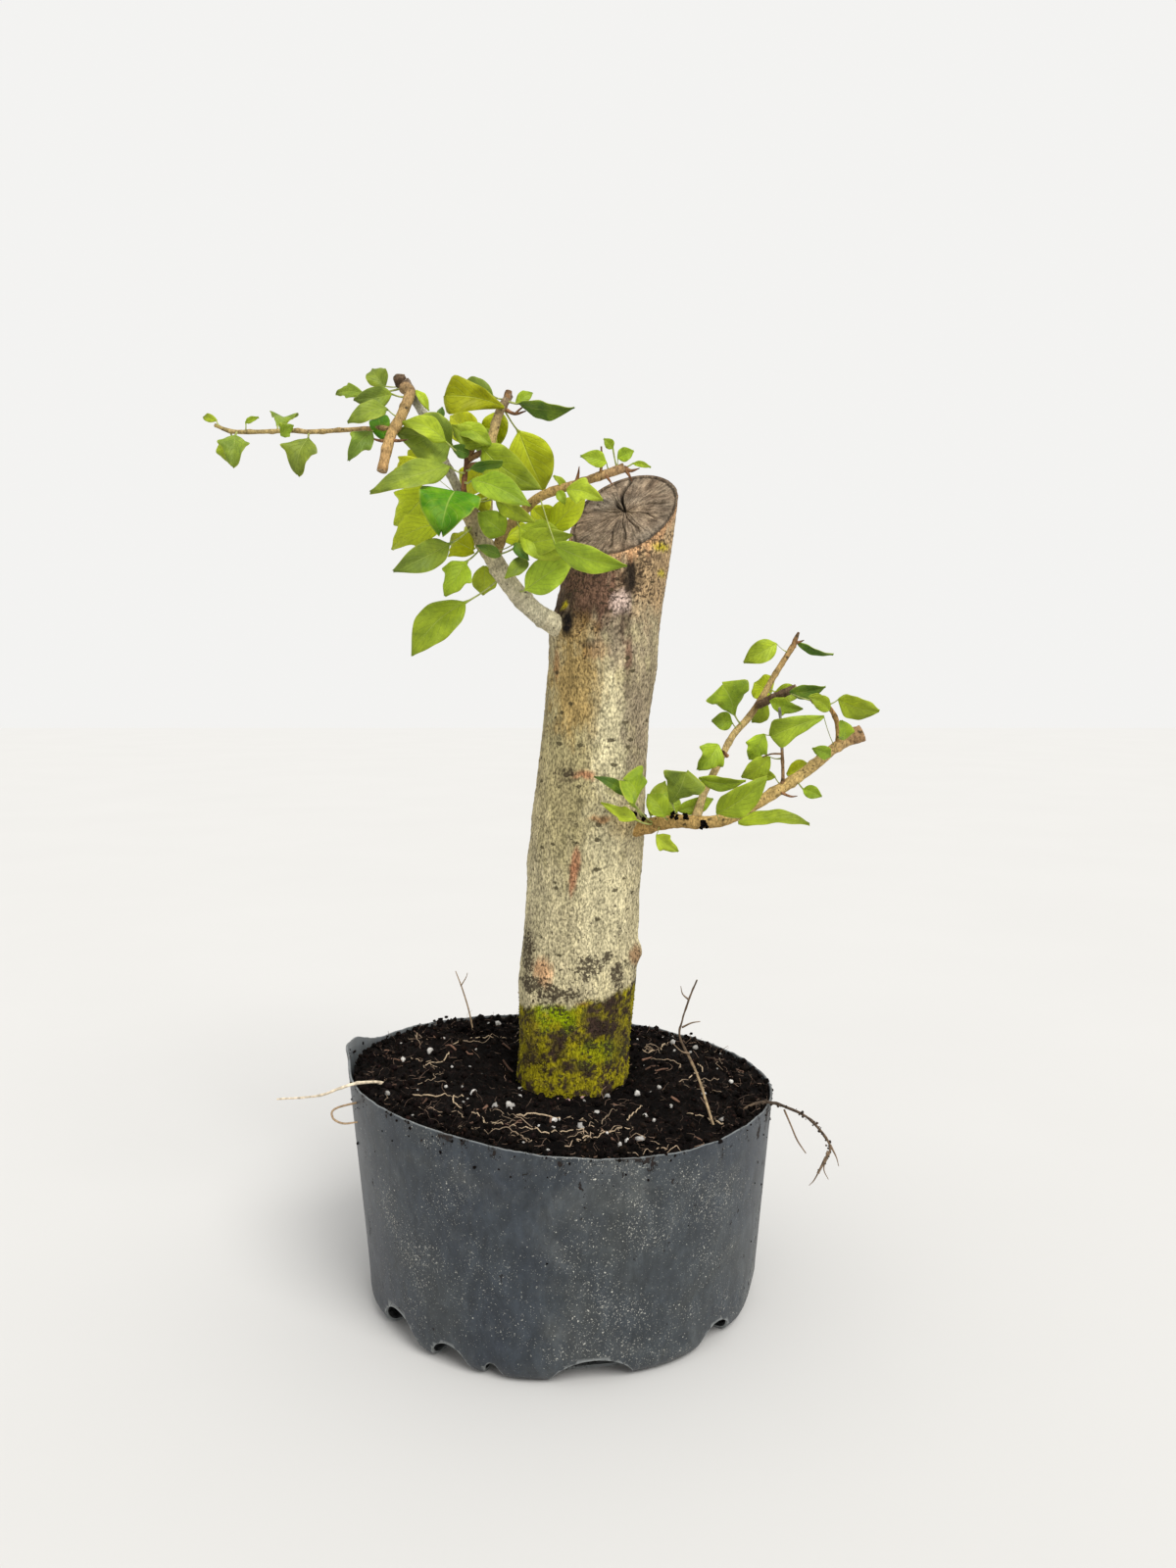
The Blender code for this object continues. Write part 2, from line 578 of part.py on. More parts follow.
def make_leaf(leaf, path):
    root = side_root(leaf.side)
    base = root + Vector(leaf.base) * MM
    tip = root + Vector(leaf.tip) * MM
    along, across, out = leaf_frame(base, tip, leaf.roll)
    twig, radius = nearest_on(path, np.array(base))
    start = twig + (base - twig).normalized() * (radius + GAP + PETIOLE_WIDTH / 4)
    length = (tip - base).length
    outline, sweep = OUTLINES[leaf.outline]
    half_width = leaf.width / 2 * MM * LEAF_GROWTH
    rings = []
    for share in (0, 0.5):
        centre = start.lerp(base, share)
        rings.append(blade_ring(centre, across, along, out, PETIOLE_WIDTH / 2, 0, 0))
    for share, width in outline:
        arch = out * length * LEAF_ARCH * 4 * share * (1 - share)
        half = max(PETIOLE_WIDTH / 2, half_width * width)
        forward = length * sweep * width if 0 < share < 1 else 0
        centre = base + along * length * share + arch
        rings.append(blade_ring(centre, across, along, out, half, forward, leaf.fold))
    name = "leaf_" + leaf.side + "_" + leaf.name
    add_part(name, lofted(name, rings), "leaf_green")


def main():
    clear_scene()
    new_collection("bonsai_in_pot")
    new_collection("cutters").hide_render = True
    for name in COLOURS:
        new_material(name)
    make_pot()
    make_soil()
    make_trunk()
    make_shoots()
    make_roots()
    paths = {shoot.name: shoot_path(shoot) for shoot in SHOOTS}
    for leaf in LEAVES:
        make_leaf(leaf, paths[leaf.twig])


main()
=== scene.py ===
"""Bonsai tree in a pot: the visual model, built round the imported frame.

Tables are in millimetres, everything else is in metres; +Z up, the front towards -Y.
"""

import json
import math
import random
from collections import namedtuple

import bmesh
import bpy
import numpy as np
from mathutils import Euler, Matrix, Vector, noise

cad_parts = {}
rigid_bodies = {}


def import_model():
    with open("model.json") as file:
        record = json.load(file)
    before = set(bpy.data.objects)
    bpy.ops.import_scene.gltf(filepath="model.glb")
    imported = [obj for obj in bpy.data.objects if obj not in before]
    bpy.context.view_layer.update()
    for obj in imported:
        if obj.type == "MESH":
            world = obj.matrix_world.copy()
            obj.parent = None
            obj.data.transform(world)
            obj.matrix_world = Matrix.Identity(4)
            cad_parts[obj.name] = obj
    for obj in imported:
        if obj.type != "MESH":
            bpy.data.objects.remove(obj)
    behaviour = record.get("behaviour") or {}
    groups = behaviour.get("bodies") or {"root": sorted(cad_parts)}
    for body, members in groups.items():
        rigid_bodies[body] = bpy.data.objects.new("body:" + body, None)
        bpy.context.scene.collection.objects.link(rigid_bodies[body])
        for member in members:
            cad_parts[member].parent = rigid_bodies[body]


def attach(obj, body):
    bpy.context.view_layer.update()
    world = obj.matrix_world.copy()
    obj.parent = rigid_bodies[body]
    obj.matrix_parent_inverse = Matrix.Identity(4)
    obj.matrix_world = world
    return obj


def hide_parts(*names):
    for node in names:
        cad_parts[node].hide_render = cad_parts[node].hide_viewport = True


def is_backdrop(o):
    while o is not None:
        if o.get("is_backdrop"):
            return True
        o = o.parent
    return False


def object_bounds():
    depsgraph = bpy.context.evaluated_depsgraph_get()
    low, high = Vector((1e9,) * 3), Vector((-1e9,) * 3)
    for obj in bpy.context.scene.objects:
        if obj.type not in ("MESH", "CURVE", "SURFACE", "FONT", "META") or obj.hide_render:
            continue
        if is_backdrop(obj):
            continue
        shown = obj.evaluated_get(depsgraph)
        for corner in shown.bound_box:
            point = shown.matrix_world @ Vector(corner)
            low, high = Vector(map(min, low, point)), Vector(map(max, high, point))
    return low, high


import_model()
CAD_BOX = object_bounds()

MM = 0.001
SEED = 7

# Pot, as in the CAD.
POT_HEIGHT = 107.5 * MM
RIM_RADIUS = 105 * MM
FOOT_RADIUS = 97 * MM
BASE_RADIUS = 88 * MM
FOOT_HEIGHT = 13 * MM
WALL = 1.2 * MM
RIM_TILT = 7.5 * MM
RIM_TILT_ANGLE = 203
RIM_WAVES = ((283, 35, -4.5 * MM), (177, 12, 6 * MM))
POT_WOBBLE = 0.7 * MM
NOTCHES = (
    (219, 14, 12 * MM), (239, 10, 9 * MM), (252, 4, 6 * MM), (279, 17, 9 * MM), (318, 11, 9 * MM),
    (345, 13, 8 * MM), (15, 12, 9 * MM), (48, 15, 8 * MM), (82, 12, 9 * MM), (118, 14, 8 * MM),
    (152, 12, 9 * MM), (186, 12, 8 * MM),
)
# Finer than the CAD: the knife's nicks, and the flap at the left bent outwards.
RIM_NICK = 0.5 * MM
FLAP_ANGLE = 177
FLAP_SPREAD = 8
FLAP_LEAN = 1.8 * MM
POT_ANGLES = 360
# Finer too: the foot bulges between its notches and is drawn in at them, fading out by LOBE_HEIGHT.
LOBE_BULGE = 1.8 * MM
LOBE_PINCH = 0.8 * MM
LOBE_HEIGHT = 26 * MM
NOTCH_GROWTH = 1.28              # times the CAD notches

# Soil: the surface is as in the CAD, with a sunken ring round the trunk.
SOIL_LEVEL = POT_HEIGHT - 8.5 * MM
SOIL_DROP = 1.5 * MM
SOIL_MOUND = 4 * MM
SOIL_LUMPS = 1.2 * MM
LUMP_SCALE = 90
SOIL_SINK = 3 * MM
CRUMBS = 2600
PERLITE = 85
RED_GRAINS = 5                  # of the perlite, in front of the trunk
FIBRES = 650
HAIR_ROOTS = 30
WOOD_CHIPS = 34
WALL_CRUMBS = 520               # places tried: most fall where no soil clings
EDGE_CRUMBS = 260
TUFT_CRUMBS = 90
SOIL_GRAIN = 2.2 * MM
SOIL_RINGS = 95
SOIL_ANGLES = 300
SOIL_SKIRT = 14 * MM            # how deep the soil goes: the CAD soil fills the pot

# Trunk, as in the CAD but for its depth in the soil: heights are above SOIL_LEVEL.
TRUNK_RADIUS = 28 * MM
TRUNK_HEIGHT = 287.5 * MM
TRUNK_DEPTH = 20 * MM           # the CAD trunk goes deeper, out of sight
TRUNK_BACK = 20 * MM
SAW_NORMAL = Vector((-0.24, -0.81, 1)).normalized()
TRUNK_LINE = (
    (-48, 3, 0.74), (-30, 4, 0.90), (0, 4.6, 0.99), (20, 5.6, 1.01), (50, 7.0, 1.06),
    (70, 8.5, 1.03), (100, 10.4, 1.01), (133, 12.5, 1.02), (157, 14.4, 0.98), (185, 17.0, 0.96),
    (211, 20.0, 1.00), (231, 21.2, 1.00), (250, 24.8, 0.965), (280, 30.0, 0.93), (330, 36.0, 0.92),
)
TRUNK_OVAL = 0.02
TRUNK_SIDES = 220
TRUNK_ROWS = 250
FACE_ROWS = 46
BARK_RIDGES = 0.55 * MM
BARK_PITS = 0.28 * MM
ROOT_FLARE = 1.6 * MM
MOSS_TUFTS = 1500
MOSS_TOP = 44 * MM
LEFT_HEIGHT = 227 * MM
LEFT_ANGLE = 215
RIGHT_HEIGHT = 130.5 * MM
RIGHT_ANGLE = 325

# Swellings on the trunk: (height, angle, spread along, spread round, rise) in mm and degrees.
SWELLINGS = (
    (66, 348, 6, 9, 3.4), (136, 318, 9, 16, 2.6), (138, 284, 4, 9, 1.0), (229, 214, 10, 20, 3.0),
    (233, 243, 5, 7, -4.5), (243, 238, 4, 8, 1.8), (262, 300, 7, 12, 1.6), (111, 258, 13, 4, -0.6),
    (24, 230, 14, 22, 1.5), (30, 290, 12, 20, 1.2), (72, 215, 12, 14, -1.0), (188, 285, 16, 14, -0.7),
    (60, 60, 14, 16, 2.0), (150, 100, 10, 14, 1.8), (210, 150, 12, 14, -1.0), (110, 170, 12, 16, 1.4),
    (256, 292, 9, 4, -1.1), (229, 288, 8, 4, -0.8),
)
# Patches of colour on the bark: (x, height, half width, half height) in mm, colour, strength,
# on the front (-1), the back (1) or right round (0). Later ones lie over earlier ones. Some are
# painted light and shade: a highlight band, a leaf's shadow and the shade in a hollow.
PATCHES = (
    # the front bright patches here and below are a painted highlight band right of the trunk's middle
    (2, 160, 16, 62, "olive", 0.55, -1), (24, 178, 9, 34, "bright", 0.85, -1),
    (20, 100, 12, 44, "bright", 0.6, -1), (38, 192, 9, 32, "ash", 0.7, -1),
    (6, 200, 13, 24, "golden", 0.75, -1), (44, 262, 18, 26, "tan", 0.75, -1),
    (12, 248, 20, 18, "maroon", 0.9, -1), (8, 228, 8, 9, "golden", 0.55, -1),
    (27, 222, 5, 15, "ash", 0.7, -1), (18, 219, 5, 5, "rust", 0.45, -1), (15, 223, 6, 1.4, "soot", 0.5, -1),
    (29, 242, 4.5, 6, "pink", 0.85, -1), (33, 255.5, 3.2, 10, "black", 0.95, -1),
    (30, 231, 3.2, 9, "soot", 0.8, -1), (32, 216, 2.0, 10, "maroon", 0.8, -1),
    (38, 256, 1.2, 9, "soot", 0.7, -1), (44, 263, 5, 2, "soot", 0.7, -1),
    (48, 269, 4.5, 2.6, "lichen", 0.9, -1), (48.5, 256, 2.4, 1.8, "lichen", 0.8, -1),
    (1, 243, 6, 6, "soot", 0.85, -1), (1.6, 240.6, 1.5, 1.9, "lichen", 0.95, -1),
    # the black patch at height 233 is painted shade in the hollow beside the left branch
    (2.6, 233, 3.6, 5.4, "black", 1.0, -1), (-3, 212, 1.6, 8, "rust", 0.6, -1),
    (39, 180, 2, 12, "ash", 0.5, -1), (31, 203, 2, 8, "soot", 0.5, -1),
    (11, 158.6, 5, 2.6, "scar", 0.8, -1), (2.5, 160, 5, 1.8, "crust", 0.75, -1),
    (5, 156.4, 8, 1.2, "soot", 0.5, -1), (7.4, 117, 1.9, 6, "scar", 0.8, -1),
    (5.4, 109, 1.7, 7, "scar", 0.85, -1), (4.0, 101, 1.2, 4, "scar", 0.7, -1),
    (19, 137, 6, 2.0, "rust", 0.8, -1), (24.6, 141, 1.6, 1.6, "black", 0.8, -1),
    # the olive patch at height 152 is a painted shadow cast by a leaf
    (28, 152, 6, 4, "olive", 0.7, -1), (30, 134, 8, 7, "golden", 0.35, -1),
    (-10, 60, 5, 7, "peach", 0.75, -1), (-18, 66, 4, 13, "crust", 0.8, -1),
    (-14, 52, 10, 4, "crust", 0.75, -1), (0, 50, 9, 2.4, "crust", 0.6, -1),
    (27, 58, 3, 8, "crust", 0.85, -1), (24, 68, 3, 3, "crust", 0.6, -1), (37, 66, 3.4, 5, "rust", 0.7, -1),
    (14, 64, 8, 5, "crust", 0.3, -1), (30, 240, 26, 50, "maroon", 0.45, 1),
    (4, 190, 10, 30, "golden", 0.4, 1), (16, 70, 18, 16, "crust", 0.5, 1), (6, 150, 9, 20, "ash", 0.5, 1),
    (30, 110, 8, 30, "bright", 0.5, 1),
)
# Patches where the moss has gone or grown best: (x, height, half width, half height), colour, strength.
MOSS_PATCHES = (
    (-2, 39, 13, 7, "moss", 1.1), (17, 20, 12, 6, "moss", 0.5), (15, 36, 8, 8, "earth", 1.1),
    (24, 43, 8, 6, "earth", 1.0), (-3, 23, 5, 8, "earth", 0.9), (28, 28, 5, 14, "earth", 0.6),
    (-16, 26, 5, 16, "mud", 0.8), (4, 13, 8, 4, "earth", 0.6), (8, 28, 4, 3, "earth", 0.6),
    (6, 46, 6, 1.6, "rust", 0.7),
)
# Cracks in the sawn top: direction in degrees, reach as a share, width and depth in mm.
CRACKS = (
    (95, 0.97, 1.5, 4.5), (118, 0.5, 2.4, 3.0), (165, 0.85, 0.6, 1.6), (205, 0.7, 0.5, 1.4),
    (248, 0.9, 0.6, 1.6), (290, 0.75, 0.5, 1.4), (328, 0.8, 0.7, 1.8), (8, 0.85, 0.8, 2.2),
    (40, 0.6, 0.5, 1.2), (20, 0.9, 0.4, 1.0), (225, 0.95, 0.4, 1.0), (268, 0.95, 0.5, 1.2),
    (142, 0.9, 0.4, 1.0),
)

# The studio: one soft sun, and a floor that comes out as bright as the world behind it.
WORLD_LIGHT = 0.90
SUN_FROM = (0.45, -0.75, 1.0)
SUN_POWER = 2.3
SUN_SPREAD = 32                 # degrees
FLOOR_SIZE = 6
FLOOR_SHADE = ((0.615, 0.610, 0.600), (0.625, 0.620, 0.610))

# The photo's camera, worked out; the focal length is a choice.
CAMERA_AT = (0.0126, -0.577, 0.307)
CAMERA_TILT = 84.6              # degrees up from straight down
CAMERA_LENS = 27

PETIOLE_WIDTH = 1.0 * MM
LEAF_THICKNESS = 0.32 * MM
BLADE_FOLD = 1.35               # times the CAD leaf's own fold
BLADE_ARCH = 0.09
BLADE_DROOP = 0.10              # of the length, that the tip hangs back
MIDRIB_ROUNDING = 0.012
EDGE_CURL = 0.16                # this and the waves are shares of half the leaf's width
BROAD_WAVE = 0.13
FINE_WAVE = 0.07
BLADE_STATIONS = 24
STALK_STATIONS = 6
STALK_COLOUR = (0.36, 0.40, 0.12)
BLADE_COLUMNS = 7               # on each side of the midrib


def srgb(red, green, blue):
    """A colour as a screen shows it, 0 to 255, made linear."""
    return tuple(((value / 255 + 0.055) / 1.055) ** 2.4 for value in (red, green, blue))


Shoot = namedtuple("Shoot", "name side parent colour points")
Leaf = namedtuple("Leaf", "side name twig base tip width outline roll fold", defaults=(0, 16))


def on_side(side, rows):
    return [Leaf(side, *row) for row in rows]


SHOOTS = (
    Shoot("left_branch", "left", "trunk", "pale_bark", (
        (9, 6, -3, 6), (0, 0, 3.5, 5.2), (-11.5, -6, 11, 4.8), (-22.5, -12, 22.5, 4.5),
        (-30, -16, 34.5, 4.3), (-36, -20, 45, 4.2), (-41, -24, 57, 3.9), (-42, -25, 61, 3.7))),
    Shoot("left_twig", "left", "left_branch", "twig_bark", (
        (-42.5, -25, 57, 1.3), (-43, -25.5, 66, 1.2), (-42, -25.5, 74, 1.1), (-41, -25, 82, 1.6))),
    Shoot("bent_branch", "left", "left_branch", "pale_bark", (
        (-40, -22, 52, 2.4), (-46, -17, 66, 2.3), (-53, -20, 80, 2.2), (-60, -27, 97, 2.2),
        (-64, -32, 105, 2.3), (-69, -35, 112, 2.6))),
    Shoot("cut_stub", "left", "bent_branch", "twig_bark", (
        (-68, -36, 109, 2.3), (-65.5, -40, 105, 2.3), (-68.5, -46, 94, 2.3), (-72.5, -50, 85, 2.3),
        (-76, -54, 69, 2.2))),
    Shoot("long_twig", "left", "cut_stub", "twig_bark", (
        (-71, -48, 88.5, 1.1), (-80, -46, 89, 1.1), (-91, -44, 89, 1.0), (-109, -44, 88, 1.0),
        (-118, -44, 88.5, 1.0), (-142, -44, 88, 0.9), (-152, -43, 91, 0.8))),
    Shoot("upper_shoot", "left", "left_branch", "twig_bark", (
        (-35, -19, 44, 2.2), (-33, -13, 56, 2.2), (-33, -11, 70, 2.2), (-32, -11, 86, 2.2),
        (-28, -8, 103, 2.1), (-23, -4, 113, 1.9))),
    Shoot("side_shoot", "left", "left_branch", "twig_bark", (
        (-29, -16, 38, 2.3), (-24, -22, 48, 2.3), (-19, -24, 52, 2.2), (-10.5, -28, 60, 2.2),
        (-2, -30, 64, 2.1), (9, -32, 67, 2.0), (19, -34, 70, 2.0), (31, -34, 74, 2.2))),
    Shoot("right_branch", "right", "trunk", "warm_bark", (
        (-10, 6, -2, 4.2), (0, 0, 0, 3.9), (10, -4, 3, 3.6), (21, -8, 5, 3.3), (31.5, -12, 5, 3.1),
        (43, -14, 6.5, 3.0), (57, -16, 14, 2.9), (70, -16, 22, 2.8), (83, -16, 31, 2.7),
        (96, -14, 41.5, 2.6), (107, -12, 47, 2.7))),
    Shoot("right_shoot", "right", "right_branch", "twig_bark", (
        (29, -10, 5, 2.2), (34, -6, 19, 1.9), (40, -4, 31, 1.8), (48, 0, 46, 1.7), (56, 2, 55, 1.7),
        (63, 4, 65, 1.6), (70, 6, 77, 1.5), (79, 8, 91, 1.4))),
    Shoot("end_twig", "right", "right_branch", "twig_bark", (
        (98, -14, 42, 1.2), (96, -16, 55, 1.1), (91, -18, 62, 1.1), (86, -20, 64, 1.0))),
    Shoot("thin_twig", "right", "right_branch", "twig_bark", (
        (70, -16, 22, 0.8), (70.5, -18, 28, 0.8), (69, -20, 50, 0.7), (68, -20, 61, 0.6))),
)

ROOTS = (
    ("root_left", (
        (-76, -30, 8, 1.0), (-84, -37, 15, 1.0), (-93, -45, 18, 1.0), (-101, -50, 17.5, 0.9),
        (-110, -50, 14, 0.8), (-120, -48, 12, 0.6), (-132, -46, 10.5, 0.5))),
    ("root_right", (
        (81, -38, -4, 1.0), (87, -38, 3, 1.0), (93, -37, 5.3, 1.0), (99, -35, 4.8, 1.0),
        (106, -34, 2.5, 0.9), (115, -36, -1, 0.9), (122, -38, -7, 0.8), (127, -40, -16, 0.8),
        (121, -42, -27, 0.7))),
    ("root_standing", (
        (71, -61, -3, 0.8), (69, -58, 5, 0.8), (63, -46, 23, 0.8), (56, -38, 37, 0.7),
        (57, -36, 45, 0.6), (60, -36, 55, 0.6), (64, -34, 64, 0.5))),
)

LEAVES = on_side("left", (
    ("far_round", "long_twig", (-145, -42, 86), (-148, -33, 74), 11, "oval", 10),
    ("far_lobed", "long_twig", (-142, -47, 86), (-141, -57, 72), 15, "lobed", -8),
    ("upright", "long_twig", (-124, -43, 91), (-124, -31, 98), 14, "delta", 8),
    ("hanging", "long_twig", (-110, -45, 85), (-114, -52, 69), 18, "lobed", 5),
    ("inner", "long_twig", (-81, -49, 87), (-89, -58, 74), 12, "lobed", -12),
    ("stub_round", "bent_branch", (-79, -27, 112), (-85, -24, 121), 11, "oval", 10),
    ("stub_mid", "cut_stub", (-73, -42, 105), (-88, -50, 101), 10, "oval", -10),
    ("stub_low", "cut_stub", (-74, -50, 97), (-89, -60, 90), 10, "oval", 12),
    ("big_olive", "left_twig", (-48, -31, 85), (-69, -47, 87), 26, "oval", -6, 24),
    ("long_folded", "left_twig", (-48, -38, 74), (-79, -60, 62), 14, "oval", 16),
    ("under_lime", "left_branch", (-58, -26, 66), (-78, -16, 50), 23, "lobed"),
    ("emerald", "left_branch", (-45, -44, 62), (-49, -61, 45), 29, "wide"),
    ("low_lime", "left_branch", (-52, -30, 50), (-79, -22, 39), 18, "lobed", 6),
    ("low_dark", "left_branch", (-48, -42, 39), (-70, -55, 26), 14, "oval", -14),
    ("yellow", "left_branch", (-39, -26, 38), (-51, -18, 45), 18, "lobed"),
    ("hang_lobed", "left_branch", (-42, -31, 32), (-51, -38, 17), 17, "lobed", 8),
    ("hang_lime", "left_branch", (-35, -10, 32), (-36, -5, 18), 13, "oval", -8),
    ("lowest", "left_branch", (-44, -18, 14), (-68, -28, -10), 19, "oval", 8),
    ("sail", "upper_shoot", (-25, -11, 106), (-51, -22, 109), 19, "delta", -8),
    ("right_tip", "upper_shoot", (-18, -9, 108), (7, -19, 102), 11, "oval", 42),
    ("big_lime", "upper_shoot", (-19, 7, 98), (-7, 17, 71), 25, "oval"),
    ("behind_shoot", "upper_shoot", (-28, 2, 107), (-32, 4, 89), 14, "oval"),
    ("broad", "upper_shoot", (-34, -30, 84), (-9, -43, 64), 18, "oval", 12),
    ("wing_olive", "left_twig", (-38, -38, 68), (-12, -52, 56), 14, "oval", -14),
    ("near_lime", "side_shoot", (-17, -28, 48), (6, -33, 35), 19, "oval"),
    ("pointed", "side_shoot", (0, -46, 38), (30, -60, 27), 13, "oval", 10),
    ("midrib", "left_branch", (-15, -19, 20), (7, -27, 34), 17, "oval"),
    ("behind_lime", "side_shoot", (-3, -18, 48), (13, -22, 63), 14, "oval"),
    ("pale", "side_shoot", (5, -41, 63), (20, -51, 58), 13, "lobed"),
)) + on_side("right", (
    ("top", "right_shoot", (70, 4, 92), (54, 2, 83), 12, "oval", 6),
    ("delta", "right_shoot", (48, -6, 58), (42, -15, 71), 24, "delta"),
    ("lobed", "right_shoot", (40, -10, 43), (31, -15, 31), 17, "lobed", -8),
    ("bright", "right_shoot", (69, 12, 67), (61, 18, 73), 15, "oval"),
    ("lime_low", "right_shoot", (67, 12, 62), (60, 17, 52), 9, "oval"),
    ("east", "right_shoot", (66, -4, 64), (80, -12, 60), 10, "lobed", 12),
    ("big_east", "end_twig", (95, -24, 65), (112, -32, 59), 13, "oval", 14),
    ("broad", "right_branch", (88, -26, 57), (63, -33, 48), 15, "delta", -6),
    ("folded", "thin_twig", (62, -14, 48), (55, -8, 35), 13, "lobed", 10),
    ("front", "right_branch", (38, -25, 11), (59, -40, 28), 15, "oval", 4),
    ("under", "right_branch", (47, -35, 8), (78, -45, 11), 10, "oval", -50),
    ("triangle", "right_branch", (17, -19, 16), (23, -28, 30), 23, "delta"),
    ("over_trunk", "right_branch", (-1, -24, 15), (-3, -34, 27), 26, "delta"),
))

OUTLINES = {
    "oval": (((0, 0.1), (0.08, 0.5), (0.22, 0.87), (0.4, 1), (0.6, 0.92), (0.77, 0.64),
              (0.91, 0.28), (1, 0.04)), 0.03),
    "lobed": (((0, 0.1), (0.09, 0.55), (0.24, 0.82), (0.38, 1), (0.47, 0.72), (0.63, 0.56),
               (0.83, 0.35), (1, 0.04)), 0.12),
    "delta": (((0, 0.1), (0.2, 0.34), (0.45, 0.62), (0.68, 0.86), (0.84, 1), (0.92, 0.62),
               (0.97, 0.3), (1, 0.04)), 0.08),
    "wide": (((0, 0.1), (0.05, 0.6), (0.14, 0.92), (0.28, 1), (0.5, 0.95), (0.7, 0.8),
              (0.88, 0.5), (1, 0.06)), 0.04),
}
